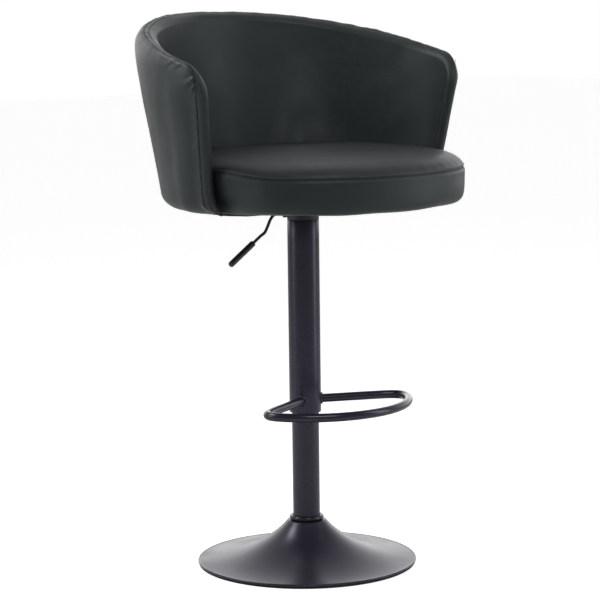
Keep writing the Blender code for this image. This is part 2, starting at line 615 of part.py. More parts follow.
# -------------------------------------------------------------------- lever
lever_y = -LEVER_F
pts = [(0.0010, lever_y * 0.0, LEVER_Z), (-0.020, lever_y * 0.35, LEVER_Z), (LEVER_PIVOT_X, lever_y, LEVER_Z), (-0.066, lever_y, LEVER_Z)]
pts += [(-0.0800, lever_y, 0.6625), (-0.0885, lever_y, 0.6550), (-0.0960, lever_y, 0.6415), (-0.1020, lever_y, 0.6325), (-0.1120, lever_y, 0.6265), (-0.1240, lever_y, 0.6185), (-0.1700, lever_y, 0.5875)]
lever = tube_curve("lever_rod", catmull(pts, 3), LEVER_R, M_LEVER, resolution=1)
boss = cylinder_between("lever_boss", (LEVER_PIVOT_X, lever_y - 0.0040, LEVER_Z), (LEVER_PIVOT_X, lever_y + 0.0040, LEVER_Z), 0.0048, segments=20)
boolean(lever, boss, "UNION")
eye = cylinder_between("lever_eye", (LEVER_PIVOT_X, lever_y - 0.0100, LEVER_Z), (LEVER_PIVOT_X, lever_y + 0.0100, LEVER_Z), 0.0023, segments=20)
boolean(lever, eye)
a, b = Vector((-0.1290, lever_y, 0.6151)), Vector((-0.1835, lever_y, 0.5784))
d = (b - a).normalized()


def along(axis_start, axis_dir, profile, name, mat, segments=20):
    obj = lathe(name, profile, mat, segments)
    obj.location = axis_start
    obj.rotation_mode = "QUATERNION"
    obj.rotation_quaternion = axis_dir.to_track_quat("Z", "Y")
    return obj


length = (b - a).length
grip = along(a, d, [(0.0, 0.0), (GRIP_R - 0.0012, 0.0), (GRIP_R, 0.0015), (GRIP_R, length - 0.002), (GRIP_R - 0.0015, length), (0.0, length)], "lever_grip", M_GRIP)
rod_bore = tube_curve("grip_bore_cutter", [tuple(p) for p in catmull(pts, 3)], LEVER_R + 2 * GAP, None, resolution=1)
bore_end = Vector((-0.1700, lever_y, 0.5875))
bore_tip = cylinder_between("grip_bore_tip", bore_end - d * 0.003, bore_end + d * 0.0006, LEVER_R + 2 * GAP, segments=12)
boolean(grip, rod_bore)
boolean(grip, bore_tip)
bracket = box_solid("lever_bracket", (0.0140, 0.0170, 0.0160), (LEVER_PIVOT_X, lever_y, PLATE_Z0 - GAP - 0.0080), M_PLATE)
slot = box_solid("bracket_slot_cutter", (0.0200, 0.0110, 0.0200), (LEVER_PIVOT_X, lever_y, PLATE_Z0 - GAP - 0.0020 - 0.0100))
boolean(bracket, slot)
pin_hole = cylinder_between("bracket_pin_hole", (LEVER_PIVOT_X, lever_y - 0.010, LEVER_Z), (LEVER_PIVOT_X, lever_y + 0.010, LEVER_Z), 0.0023, segments=20)
boolean(bracket, pin_hole)
cylinder_between("lever_pivot_pin", (LEVER_PIVOT_X, lever_y - 0.0098, LEVER_Z), (LEVER_PIVOT_X, lever_y + 0.0098, LEVER_Z), 0.0020, M_STEEL, segments=20)
lever_slot = box_solid("cone_lever_slot", (0.0450, 0.0180, 0.0140), (-0.0195, -0.0050, LEVER_Z + 0.0010))
boolean(cone, lever_slot)
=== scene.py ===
"""Looks of the bar stool: upholstery, coated metal, floor, light and camera."""

import math

import bmesh
import bpy
import numpy as np
from mathutils import Matrix, Vector
from mathutils.kdtree import KDTree


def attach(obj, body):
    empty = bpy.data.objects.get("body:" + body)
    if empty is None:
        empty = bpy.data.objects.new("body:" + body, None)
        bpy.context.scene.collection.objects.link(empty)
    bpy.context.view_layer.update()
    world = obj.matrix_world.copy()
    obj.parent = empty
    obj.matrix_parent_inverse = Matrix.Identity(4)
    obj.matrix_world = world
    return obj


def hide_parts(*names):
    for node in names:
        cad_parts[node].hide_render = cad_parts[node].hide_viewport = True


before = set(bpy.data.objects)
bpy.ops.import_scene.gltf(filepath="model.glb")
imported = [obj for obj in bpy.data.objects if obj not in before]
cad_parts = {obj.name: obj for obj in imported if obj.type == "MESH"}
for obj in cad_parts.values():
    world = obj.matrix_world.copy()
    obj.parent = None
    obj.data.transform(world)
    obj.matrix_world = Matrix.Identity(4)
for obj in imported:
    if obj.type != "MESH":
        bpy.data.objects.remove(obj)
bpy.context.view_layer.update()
RNG = np.random.default_rng(7)

# ------------------------------------------------------------ tub dimensions
SHELL_C, SHELL_R, SHELL_RZ, SHELL_FLARE = 0.029, 0.2890, 0.770, 0.166
SHELL_Z0, SHELL_ROUND = 0.6785, 0.0260
SHELL_TOP, SHELL_FALL = 1.029, 0.076
SHELL_END = math.radians(101.3)
ARM_CORNER, ARM_LEAN = 0.050, 0.21
TUBE_R, TUBE_BOTTOM, TUBE_TOP = 0.0295, 0.2875, 0.6480
STAND_R = 0.0252
HOOP_R, HOOP_Z = 0.0080, 0.3114


def smooth01(x):
    x = np.clip(x, 0.0, 1.0)
    return x * x * (3 - 2 * x)


def bump(x, width):
    return np.exp(-((x / width) ** 2))


def shell_radius(z):
    ease = np.maximum(0.0, z - 0.900)
    return SHELL_R + SHELL_FLARE * (z - SHELL_RZ) - 0.35 * ease**2


def crest(psi):
    return SHELL_TOP - SHELL_FALL * (1 - np.cos(psi)) - 0.0025


def thickness(psi):
    return 0.044 - 0.022 * smooth01((np.abs(psi) - math.radians(55)) / math.radians(45))


def on_tub(psi, inset, z):
    r = shell_radius(z) - inset
    # the arm's foot runs forward under the cushion
    s = (SHELL_END - np.abs(psi)) * SHELL_R
    toe = 0.030 * np.exp(-np.maximum(0.0, z - SHELL_Z0) / 0.0125) * (1 - smooth01(s / 0.055))
    psi = psi + np.sign(psi) * toe / SHELL_R
    lean = psi * (1 + ARM_LEAN * (z - 0.780))
    return np.stack([r * np.sin(lean), -(SHELL_C - r * np.cos(lean)), z + 0 * r], axis=-1)


# --------------------------------------------------------------- noise helper
class Noise:
    """Smooth value noise made from a fixed set of waves."""

    def __init__(self, seed, wavelength, waves=26):
        g = np.random.default_rng(seed)
        d = g.normal(size=(waves, 3))
        d /= np.linalg.norm(d, axis=1)[:, None]
        k = 2 * math.pi / (wavelength * g.uniform(0.7, 1.6, waves))
        self.k = d * k[:, None]
        self.ph = g.uniform(0, 2 * math.pi, waves)
        self.n = waves

    def __call__(self, p):
        return np.sin(p @ self.k.T + self.ph).sum(axis=-1) / math.sqrt(self.n / 2.0)


# --------------------------------------------------------------- mesh helpers
def mesh_object(name, verts, faces, smooth=True):
    me = bpy.data.meshes.new(name)
    me.from_pydata([tuple(map(float, v)) for v in verts], [], [tuple(map(int, f)) for f in faces])
    me.validate()
    bm = bmesh.new()
    bm.from_mesh(me)
    bmesh.ops.recalc_face_normals(bm, faces=bm.faces)
    bm.to_mesh(me)
    bm.free()
    if smooth:
        me.shade_smooth()
    ob = bpy.data.objects.new(name, me)
    bpy.context.scene.collection.objects.link(ob)
    return ob


def grid_faces(ni, nj, base=0, wrap_i=False, wrap_j=False):
    i = np.arange(ni if wrap_i else ni - 1)
    j = np.arange(nj if wrap_j else nj - 1)
    a, b = np.meshgrid(i, j, indexing="ij")
    a, b = a.ravel(), b.ravel()
    a2, b2 = (a + 1) % ni, (b + 1) % nj
    return np.stack([base + a * nj + b, base + a2 * nj + b, base + a2 * nj + b2, base + a * nj + b2], axis=1)


def coords(ob):
    co = np.empty(len(ob.data.vertices) * 3, np.float32)
    ob.data.vertices.foreach_get("co", co)
    return co.reshape(-1, 3).astype(float)


def set_coords(ob, co):
    ob.data.vertices.foreach_set("co", co.astype(np.float32).ravel())
    ob.data.update()


def normals(ob):
    n = np.empty(len(ob.data.vertices) * 3, np.float32)
    ob.data.vertex_normals.foreach_get("vector", n)
    return n.reshape(-1, 3).astype(float)


def put_attribute(ob, name, values):
    at = ob.data.attributes.new(name, "FLOAT", "POINT")
    at.data.foreach_set("value", np.asarray(values, np.float32))


def lathe(name, profile, segments=160, sharp=None):
    """Closed profile of (radius, height) turned about the column's axis."""
    prof = np.array(profile, float)
    ang = np.linspace(0, 2 * math.pi, segments, endpoint=False)
    r, z = prof[:, 0], prof[:, 1]
    verts = np.stack([np.outer(np.cos(ang), r), np.outer(np.sin(ang), r), np.tile(z, (segments, 1))], axis=-1)
    ob = mesh_object(name, verts.reshape(-1, 3), grid_faces(segments, len(prof), 0, True, True))
    if sharp:
        ob.data.set_sharp_from_angle(angle=math.radians(sharp))
    return ob


def sweep(name, path, radius, sides=20, cap=True, radii=None, closed=False):
    """A tube along a path with parallel-transported rings and flat end caps."""
    path = np.array(path, float)
    n = len(path)
    if closed:
        tan = np.roll(path, -1, 0) - np.roll(path, 1, 0)
    else:
        tan = np.gradient(path, axis=0)
    tan /= np.linalg.norm(tan, axis=1)[:, None]
    up = np.array([0.0, 0.0, 1.0])
    if abs(tan[0] @ up) > 0.95:
        up = np.array([0.0, 1.0, 0.0])
    u = np.cross(tan[0], up)
    u /= np.linalg.norm(u)
    ang = np.linspace(0, 2 * math.pi, sides, endpoint=False)
    rings = []
    for k in range(n):
        u = u - tan[k] * (u @ tan[k])
        u /= np.linalg.norm(u)
        v = np.cross(tan[k], u)
        rr = radius if radii is None else radii[k]
        rings.append(path[k] + rr * (np.outer(np.cos(ang), u) + np.outer(np.sin(ang), v)))
    verts = np.array(rings).reshape(-1, 3)
    faces = [tuple(f) for f in grid_faces(n, sides, 0, closed, True)]
    if cap and not closed:
        a, b = len(verts), len(verts) + 1
        verts = np.vstack([verts, path[0], path[-1]])
        for s in range(sides):
            faces.append((a, (s + 1) % sides, s))
            faces.append((b, (n - 1) * sides + s, (n - 1) * sides + (s + 1) % sides))
    return mesh_object(name, verts, faces)


def join_parts(name, parts):
    """Several (verts, faces) parts in one mesh object."""
    verts, faces, off = [], [], 0
    for v, f in parts:
        verts.append(v)
        faces.extend([tuple(i + off for i in face) for face in f])
        off += len(v)
    return mesh_object(name, np.vstack(verts), faces)


# ------------------------------------------------------------------ materials
def new_material(name):
    m = bpy.data.materials.new(name)
    m.use_nodes = True
    nt = m.node_tree
    for n in list(nt.nodes):
        nt.nodes.remove(n)
    out = nt.nodes.new("ShaderNodeOutputMaterial")
    b = nt.nodes.new("ShaderNodeBsdfPrincipled")
    nt.links.new(b.outputs[0], out.inputs[0])
    return m, nt, b


def node(nt, kind, **values):
    n = nt.nodes.new(kind)
    for key, value in values.items():
        if hasattr(n, key):
            setattr(n, key, value)
        else:
            n.inputs[key.replace("_", " ")].default_value = value
    return n


def object_coords(nt):
    return nt.nodes.new("ShaderNodeTexCoord").outputs["Object"]


def ramp(nt, source, stops):
    r = nt.nodes.new("ShaderNodeValToRGB")
    el = r.color_ramp.elements
    while len(el) < len(stops):
        el.new(0.5)
    for e, (pos, col) in zip(el, stops):
        e.position = pos
        e.color = col if len(col) == 4 else (*col, 1)
    nt.links.new(source, r.inputs[0])
    return r


def grey(v):
    return (v, v, v, 1)


def math_node(nt, op, a, b=None, clamp=False):
    n = nt.nodes.new("ShaderNodeMath")
    n.operation = op
    n.use_clamp = clamp
    for i, x in enumerate((a, b)):
        if x is None:
            continue
        if isinstance(x, (int, float)):
            n.inputs[i].default_value = x
        else:
            nt.links.new(x, n.inputs[i])
    return n.outputs[0]


def mix_color(nt, fac, a, b, mode="MIX"):
    n = nt.nodes.new("ShaderNodeMix")
    n.data_type = "RGBA"
    n.blend_type = mode
    for sock, x in ((n.inputs[0], fac), (n.inputs[6], a), (n.inputs[7], b)):
        if isinstance(x, (int, float)):
            sock.default_value = x
        elif isinstance(x, tuple):
            sock.default_value = x if len(x) == 4 else (*x, 1)
        else:
            nt.links.new(x, sock)
    return n.outputs[2]


# the default tones are painted light: a lighter copy of the seat's leatherette, used for the back to stand in for
# light inside the tub
def leather_material(name, dark=(0.0096, 0.0128, 0.0135), light=(0.0150, 0.0190, 0.0198), rough=0.40, spec=0.42):
    m, nt, b = new_material(name)
    oc = object_coords(nt)
    # colour: faint large clouds, with painted shade in the grain's valleys and in the seam grooves
    cloud = node(nt, "ShaderNodeTexNoise", Scale=9.0, Detail=4.0, Roughness=0.55)
    nt.links.new(oc, cloud.inputs["Vector"])
    warp = node(nt, "ShaderNodeTexNoise", Scale=260.0, Detail=2.0)
    nt.links.new(oc, warp.inputs["Vector"])
    warped = nt.nodes.new("ShaderNodeVectorMath")
    warped.operation = "MULTIPLY_ADD"
    warped.inputs[1].default_value = (0.0016, 0.0016, 0.0016)
    nt.links.new(warp.outputs["Color"], warped.inputs[0])
    nt.links.new(oc, warped.inputs[2])
    pebble = node(nt, "ShaderNodeTexVoronoi", Scale=600.0, feature="DISTANCE_TO_EDGE")
    nt.links.new(warped.outputs[0], pebble.inputs["Vector"])
    pebble_h = ramp(nt, pebble.outputs["Distance"], [(0.0, grey(0)), (0.10, grey(0.65)), (0.35, grey(1))])
    fine = node(nt, "ShaderNodeTexNoise", Scale=2600.0, Detail=3.0)
    nt.links.new(oc, fine.inputs["Vector"])
    crease = node(nt, "ShaderNodeTexNoise", Scale=120.0, Detail=5.0, Roughness=0.6, Distortion=0.8)
    nt.links.new(oc, crease.inputs["Vector"])
    crease_h = ramp(nt, crease.outputs["Fac"], [(0.36, grey(0.0)), (0.50, grey(1.0)), (0.64, grey(0.2))])
    tone = mix_color(nt, cloud.outputs["Fac"], dark, light)
    # painted shade: the pebble grain's valleys are darkened in colour
    tone = mix_color(nt, math_node(nt, "MULTIPLY", math_node(nt, "SUBTRACT", 1.0, pebble_h.outputs[0]), 0.22), tone, tuple(c * 0.45 for c in dark))
    # painted shade: the groove attribute darkens the colour in the seam grooves and the stitched rows
    groove = nt.nodes.new("ShaderNodeAttribute")
    groove.attribute_name = "groove"
    tone = mix_color(nt, math_node(nt, "MULTIPLY", groove.outputs["Fac"], 0.72, True), tone, tuple(c * 0.25 for c in dark))
    nt.links.new(tone, b.inputs["Base Color"])
    # roughness: smoother on the grain's tops and where the cloth is polished
    rr = ramp(nt, cloud.outputs["Fac"], [(0.30, grey(rough + 0.06)), (0.70, grey(rough - 0.03))])
    rough_total = math_node(nt, "ADD", rr.outputs[0], math_node(nt, "MULTIPLY", math_node(nt, "SUBTRACT", 1.0, pebble_h.outputs[0]), 0.10), True)
    rough_total = math_node(nt, "ADD", rough_total, math_node(nt, "MULTIPLY", groove.outputs["Fac"], 0.3), True)
    nt.links.new(rough_total, b.inputs["Roughness"])
    b.inputs["Specular IOR Level"].default_value = spec
    b.inputs["Specular Tint"].default_value = (0.88, 0.97, 1.0, 1)
    b.inputs["Coat Weight"].default_value = 0.06
    b.inputs["Coat Roughness"].default_value = 0.28
    h = math_node(nt, "ADD", math_node(nt, "MULTIPLY", pebble_h.outputs[0], 0.60), math_node(nt, "MULTIPLY", fine.outputs["Fac"], 0.16))
    h = math_node(nt, "ADD", h, math_node(nt, "MULTIPLY", crease_h.outputs[0], 0.22))
    bp = node(nt, "ShaderNodeBump", Strength=0.75, Distance=0.00034)
    nt.links.new(h, bp.inputs["Height"])
    nt.links.new(bp.outputs[0], b.inputs["Normal"])
    return m


def coat_material(name, color=(0.0145, 0.0135, 0.0225), rough=0.36, metallic=0.0, spec=0.5, peel=0.18, wear=0.0):
    """Powder coat: orange-peel texture, faint speckle and dust."""
    m, nt, b = new_material(name)
    oc = object_coords(nt)
    big = node(nt, "ShaderNodeTexNoise", Scale=14.0, Detail=5.0, Roughness=0.6)
    nt.links.new(oc, big.inputs["Vector"])
    peel_n = node(nt, "ShaderNodeTexNoise", Scale=1100.0, Detail=2.5, Roughness=0.5)
    nt.links.new(oc, peel_n.inputs["Vector"])
    speck = node(nt, "ShaderNodeTexVoronoi", Scale=1500.0, feature="F1")
    nt.links.new(oc, speck.inputs["Vector"])
    lighter = tuple(c * 1.35 + 0.002 for c in color)
    tone = mix_color(nt, big.outputs["Fac"], color, lighter)
    sp = ramp(nt, speck.outputs["Distance"], [(0.0, grey(1)), (0.16, grey(0))])
    tone = mix_color(nt, math_node(nt, "MULTIPLY", sp.outputs[0], 0.18), tone, tuple(c * 2.2 + 0.01 for c in color))
    if wear:
        scuff = node(nt, "ShaderNodeTexNoise", Scale=55.0, Detail=8.0, Roughness=0.75)
        nt.links.new(oc, scuff.inputs["Vector"])
        s = ramp(nt, scuff.outputs["Fac"], [(0.62, grey(0)), (0.74, grey(1))])
        tone = mix_color(nt, math_node(nt, "MULTIPLY", s.outputs[0], wear), tone, (0.10, 0.10, 0.105))
    nt.links.new(tone, b.inputs["Base Color"])
    rr = ramp(nt, big.outputs["Fac"], [(0.3, grey(rough + 0.05)), (0.7, grey(rough - 0.03))])
    nt.links.new(rr.outputs[0], b.inputs["Roughness"])
    b.inputs["Metallic"].default_value = metallic
    b.inputs["Specular IOR Level"].default_value = spec
    b.inputs["Specular Tint"].default_value = (0.84, 0.80, 1.0, 1)
    bp = node(nt, "ShaderNodeBump", Strength=peel, Distance=0.00010)
    nt.links.new(peel_n.outputs["Fac"], bp.inputs["Height"])
    nt.links.new(bp.outputs[0], b.inputs["Normal"])
    return m


def simple_detail(name, color, rough, metallic=0.0, scale=300.0, bump_mm=0.1, streak=None, second=None):
    """Moulded plastic, zinc, rubber and the like: colour clouds, roughness and fine bump."""
    m, nt, b = new_material(name)
    oc = object_coords(nt)
    vec = oc
    if streak:
        mp = nt.nodes.new("ShaderNodeMapping")
        mp.inputs["Scale"].default_value = streak
        nt.links.new(oc, mp.inputs["Vector"])
        vec = mp.outputs[0]
    n1 = node(nt, "ShaderNodeTexNoise", Scale=scale, Detail=4.0, Roughness=0.6)
    nt.links.new(vec, n1.inputs["Vector"])
    n2 = node(nt, "ShaderNodeTexNoise", Scale=scale * 0.06, Detail=3.0)
    nt.links.new(oc, n2.inputs["Vector"])
    second = second or tuple(min(1.0, c * 1.5 + 0.004) for c in color)
    tone = mix_color(nt, n2.outputs["Fac"], color, second)
    tone = mix_color(nt, math_node(nt, "MULTIPLY", n1.outputs["Fac"], 0.3), tone, tuple(c * 0.6 for c in color))
    nt.links.new(tone, b.inputs["Base Color"])
    rr = ramp(nt, n1.outputs["Fac"], [(0.3, grey(min(1, rough + 0.07))), (0.7, grey(max(0, rough - 0.05)))])
    nt.links.new(rr.outputs[0], b.inputs["Roughness"])
    b.inputs["Metallic"].default_value = metallic
    bp = node(nt, "ShaderNodeBump", Strength=0.5, Distance=bump_mm / 1000)
    nt.links.new(n1.outputs["Fac"], bp.inputs["Height"])
    nt.links.new(bp.outputs[0], b.inputs["Normal"])
    return m


def plywood_material(name):
    m, nt, b = new_material(name)
    oc = object_coords(nt)
    w = node(nt, "ShaderNodeTexWave", Scale=420.0, Distortion=1.5, Detail=3.0, bands_direction="Z")
    nt.links.new(oc, w.inputs["Vector"])
    g = node(nt, "ShaderNodeTexNoise", Scale=40.0, Detail=6.0)
    nt.links.new(oc, g.inputs["Vector"])
    tone = mix_color(nt, w.outputs["Fac"], (0.42, 0.28, 0.15), (0.60, 0.44, 0.27))
    tone = mix_color(nt, math_node(nt, "MULTIPLY", g.outputs["Fac"], 0.5), tone, (0.35, 0.22, 0.12))
    nt.links.new(tone, b.inputs["Base Color"])
    b.inputs["Roughness"].default_value = 0.65
    bp = node(nt, "ShaderNodeBump", Strength=0.4, Distance=0.0002)
    nt.links.new(g.outputs["Fac"], bp.inputs["Height"])
    nt.links.new(bp.outputs[0], b.inputs["Normal"])
    return m


def cloth_material(name):
    m, nt, b = new_material(name)
    oc = object_coords(nt)
    wx = node(nt, "ShaderNodeTexWave", Scale=900.0, bands_direction="X")
    wy = node(nt, "ShaderNodeTexWave", Scale=900.0, bands_direction="Y")
    for w in (wx, wy):
        nt.links.new(oc, w.inputs["Vector"])
    h = math_node(nt, "MAXIMUM", wx.outputs["Fac"], wy.outputs["Fac"])
    tone = mix_color(nt, h, (0.006, 0.006, 0.006), (0.022, 0.022, 0.023))
    nt.links.new(tone, b.inputs["Base Color"])
    b.inputs["Roughness"].default_value = 0.95
    bp = node(nt, "ShaderNodeBump", Strength=0.7, Distance=0.0003)
    nt.links.new(h, bp.inputs["Height"])
    nt.links.new(bp.outputs[0], b.inputs["Normal"])
    return m


MAT_SEAT = leather_material("leather_seat", dark=(0.0074, 0.0100, 0.0106), light=(0.0112, 0.0146, 0.0153))
# painted light: the back is the seat's leatherette given lighter tones, standing in for light inside the tub
MAT_BACK_PAINTED_LIGHTER = leather_material("leather_back_painted_lighter", rough=0.38)
MAT_THREAD = simple_detail("stitch_thread", (0.052, 0.058, 0.060), 0.55, 0.0, 900.0, 0.12)
MAT_PIPING = leather_material("leather_piping", rough=0.42)
MAT_COAT = coat_material("powder_coat_column", rough=0.28)
MAT_BASE = coat_material("powder_coat_base", rough=0.29)
MAT_HOOP = coat_material("powder_coat_hoop", rough=0.19, wear=0.08, peel=0.3)
MAT_RING = coat_material("neck_ring_coat", (0.012, 0.012, 0.014), rough=0.16, peel=0.2)
MAT_LEVER = coat_material("lever_coat", (0.026, 0.026, 0.032), rough=0.32, peel=0.3)
MAT_GRIP = simple_detail("grip_plastic", (0.014, 0.014, 0.016), 0.42, 0.0, 700.0, 0.10)
MAT_RUBBER = simple_detail("floor_rubber", (0.010, 0.010, 0.010), 0.85, 0.0, 500.0, 0.2)
MAT_IRON = simple_detail("cast_iron", (0.07, 0.07, 0.07), 0.7, 0.8, 350.0, 0.5)
MAT_ZINC = simple_detail("zinc_steel", (0.42, 0.43, 0.45), 0.32, 1.0, 120.0, 0.05, second=(0.55, 0.55, 0.52))
MAT_CHROME = simple_detail("rod_chrome", (0.66, 0.66, 0.68), 0.12, 1.0, 90.0, 0.02, streak=(1, 1, 0.05))
MAT_NYLON = simple_detail("black_nylon", (0.015, 0.015, 0.016), 0.5, 0.0, 400.0, 0.1)
MAT_ACETAL = simple_detail("white_acetal", (0.62, 0.62, 0.60), 0.4, 0.0, 400.0, 0.05, second=(0.70, 0.70, 0.68))
MAT_PLATE = coat_material("seat_plate_coat", (0.016, 0.016, 0.018), rough=0.45, wear=0.1)
MAT_PLY = plywood_material("birch_plywood")
MAT_BOARD = simple_detail("stained_board", (0.012, 0.011, 0.010), 0.7, 0.0, 60.0, 0.2, streak=(1, 0.08, 1))
MAT_DUST = cloth_material("dust_cover_weave")


def paint(name, mat):
    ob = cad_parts[name]
    ob.data.materials.clear()
    ob.data.materials.append(mat)


for node_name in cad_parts:
    if node_name in ("seat_plate", "seat_cone", "lever_bracket"):
        chosen = MAT_PLATE
    elif node_name in ("base_floor_ring", "rod_bump_stop"):
        chosen = MAT_RUBBER
    elif node_name == "base_weight":
        chosen = MAT_IRON
    elif node_name == "piston_rod":
        chosen = MAT_CHROME
    elif node_name == "gas_cylinder":
        chosen = MAT_COAT
    elif node_name in ("stand_guide_bush", "tube_glide_bush"):
        chosen = MAT_NYLON
    elif node_name in ("thrust_bearing_cage", "gas_piston"):
        chosen = MAT_ACETAL
    elif node_name == "seat_board":
        chosen = MAT_BOARD
    elif node_name == "back_plywood_core":
        chosen = MAT_PLY
    elif node_name == "dust_cover":
        chosen = MAT_DUST
    elif node_name in ("base_bell",):
        chosen = MAT_BASE
    elif node_name in ("stand_tube", "outer_tube", "footrest_hoop"):
        chosen = MAT_COAT
    elif node_name == "lever_grip":
        chosen = MAT_GRIP
    elif node_name == "lever_rod":
        chosen = MAT_LEVER
    elif node_name == "neck_trim_ring":
        chosen = MAT_RING
    elif node_name in ("seat_cushion", "back_inner_pad", "back_outer_panel"):
        chosen = MAT_SEAT
    else:
        chosen = MAT_ZINC
    paint(node_name, chosen)


def finish_piece(ob, body, mat, replaces=()):
    ob.data.materials.clear()
    ob.data.materials.append(mat)
    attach(ob, body)
    if replaces:
        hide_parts(*replaces)
    return ob


# ============================================================== metal pieces
def arc(cx, cz, rx, rz, a0, a1, n):
    return [(cx + rx * math.cos(a0 + (a1 - a0) * i / n), cz + rz * math.sin(a0 + (a1 - a0) * i / n)) for i in range(n + 1)]


BASE_R, RIM_Z, NECK_R, NECK_Z, SHEET = 0.205, 0.0075, 0.0300, 0.0820, 0.0016


def bell_height(r):
    k = max(0.0, (BASE_R - r) / (BASE_R - NECK_R))
    return RIM_Z + 0.0447 * k**1.64 + 0.0367 * math.exp(-(r - NECK_R) / 0.0402)


radii = [0.0345 + (BASE_R - 0.0022 - 0.0345) * (i / 70) ** 1.15 for i in range(71)]
outer = [(r, min(bell_height(r), NECK_Z - 0.0006 - 0.10 * max(0.0, r - 0.034))) for r in radii]
top = [(0.0262, NECK_Z - 0.0004), (0.0300, NECK_Z), (0.0322, NECK_Z - 0.0002)]
rim = arc(BASE_R - 0.0022, RIM_Z - 0.0012, 0.0022, 0.0022, 1.2, -1.2, 7)
lip = [(BASE_R - 0.0014, 0.0046), (BASE_R - 0.0034, 0.0046), (BASE_R - 0.0036, 0.0060)]
inner = [(r - 0.0002, z - SHEET) for r, z in reversed(outer) if r < BASE_R - 0.006] + [(0.0258, NECK_Z - 0.0040)]
bell = lathe("bell_spun_cover", top + outer + rim + lip + inner, 200, sharp=40)
finish_piece(bell, "base", MAT_BASE, ("base_bell",))
ring_rows = arc(0.0288, NECK_Z + 0.0046, 0.0034, 0.0042, -0.5 * math.pi, 0.5 * math.pi, 14)
neck_ring = lathe("neck_bead", [(0.0263, NECK_Z + 0.0004)] + ring_rows + [(0.0263, NECK_Z + 0.0086)], 128, sharp=50)
finish_piece(neck_ring, "base", MAT_RING, ("neck_trim_ring",))
floor_ring = lathe(
    "floor_ring_rubber",
    [(0.1722, 0.0002), (0.1740, 0.0), (0.2015, 0.0), (0.2028, 0.0008), (0.2034, 0.0020), (0.2034, 0.0036), (0.2028, 0.0040), (0.1722, 0.0040)],
    160, sharp=50,
)
finish_piece(floor_ring, "base", MAT_RUBBER, ("base_floor_ring",))


def tube_rows(r_in, r_out, z0, z1, e=0.0007, rows=10):
    out = [(r_in, z0 + e / 2), (r_in + e / 2, z0), (r_out - e, z0), (r_out - e * 0.3, z0 + e * 0.3), (r_out, z0 + e)]
    out += [(r_out, z0 + e + (z1 - z0 - 2 * e) * k / rows) for k in range(1, rows + 1)]
    out += [(r_out - e * 0.3, z1 - e * 0.3), (r_out - e, z1), (r_in + e / 2, z1), (r_in, z1 - e / 2)]
    return out


stand = lathe("stand_tube_fine", tube_rows(STAND_R - 0.0020, STAND_R, 0.0200, 0.4000), 120, sharp=50)
finish_piece(stand, "base", MAT_COAT, ("stand_tube",))
sleeve = lathe("outer_tube_fine", tube_rows(TUBE_R - 0.0016, TUBE_R, TUBE_BOTTOM, TUBE_TOP), 128, sharp=50)
finish_piece(sleeve, "seat", MAT_COAT, ("outer_tube",))


# footrest hoop
def hoop_line():
    a, d, leg = math.radians(55.0), math.radians(65.6), 0.161
    s = np.array([0.029 * math.sin(a), 0.029 * math.cos(a)])
    v = s + leg * np.array([math.sin(d), math.cos(d)])
    sag = 0.200 - v[1]
    rad = (v[0] ** 2 + sag**2) / (2 * sag)
    half = math.asin(v[0] / rad)
    t = np.linspace(0, 1, 41)[:, None]
    right = s + (v - s) * t
    f = half * (1 - np.arange(1, 81) / 40)
    front = np.stack([rad * np.sin(f), 0.200 - rad + rad * np.cos(f)], axis=1)
    left = right[:-1][::-1] * [-1, 1]
    raw = np.vstack([right, front, left])
    seg = np.r_[0, np.cumsum(np.linalg.norm(np.diff(raw, axis=0), axis=1))]
    total = seg[-1]
    sd = (v - s) / np.linalg.norm(v - s)

    def at(x):
        x = np.asarray(x, float)
        p = np.stack([np.interp(x, seg, raw[:, 0]), np.interp(x, seg, raw[:, 1])], axis=-1)
        lo, hi = x < 0, x > total
        p[lo] = s + sd * x[lo][:, None]
        q = s + sd * (total - x[hi])[:, None]
        p[hi] = q * [-1, 1]
        return p

    count = 220
    base_d = -0.0035 + (total + 0.007) * np.arange(count + 1) / count
    off = np.arange(-12, 13) / 12 * 2.5 * 0.026
    w = np.exp(-0.5 * (off / 0.026) ** 2)
    acc = sum(at(base_d + o) * ww for o, ww in zip(off, w)) / w.sum()
    return np.stack([acc[:, 0], -acc[:, 1], np.full(len(acc), HOOP_Z)], axis=1)


line = hoop_line()
keep = np.linalg.norm(line[:, :2], axis=1) > TUBE_R - 0.0006
line = line[keep]
hoop = sweep("hoop_tube_fine", line, HOOP_R, 36)
finish_piece(hoop, "seat", MAT_HOOP, ("footrest_hoop",))


def weld_bead(name, side):
    """A rippled fillet where a hoop leg meets the column tube."""
    p0, p1 = (line[0], line[6]) if side > 0 else (line[-1], line[-7])
    d = (p1 - p0) / np.linalg.norm(p1 - p0)
    u = np.cross(d, [0, 0, 1.0])
    u /= np.linalg.norm(u)
    v = np.cross(d, u)
    pts, rads = [], []
    n = 96
    g = np.random.default_rng(11 if side > 0 else 12)
    wob = g.normal(size=n)
    wob = np.convolve(np.r_[wob, wob, wob], np.ones(5) / 5, "same")[n:2 * n]
    for k in range(n):
        a = 2 * math.pi * k / n
        q = p0 + (HOOP_R + 0.0004) * (u * math.cos(a) + v * math.sin(a))
        # slide along the leg until the point lies on the column's surface
        lo, hi = -0.03, 0.03
        for _ in range(40):
            mid = (lo + hi) / 2
            if np.linalg.norm((q + d * mid)[:2]) < TUBE_R + 0.0003:
                lo = mid
            else:
                hi = mid
        pts.append(q + d * hi)
        rads.append(0.0025 + 0.00045 * math.sin(2 * math.pi * k / 5.33) + 0.0004 * wob[k])
    return sweep(name, pts, 0.002, 12, cap=False, radii=rads, closed=True)


for side, label in ((1, "left"), (-1, "right")):
    bead = weld_bead("weld_bead_" + label, side)
    finish_piece(bead, "seat", MAT_HOOP)

# lever
LY = -0.015


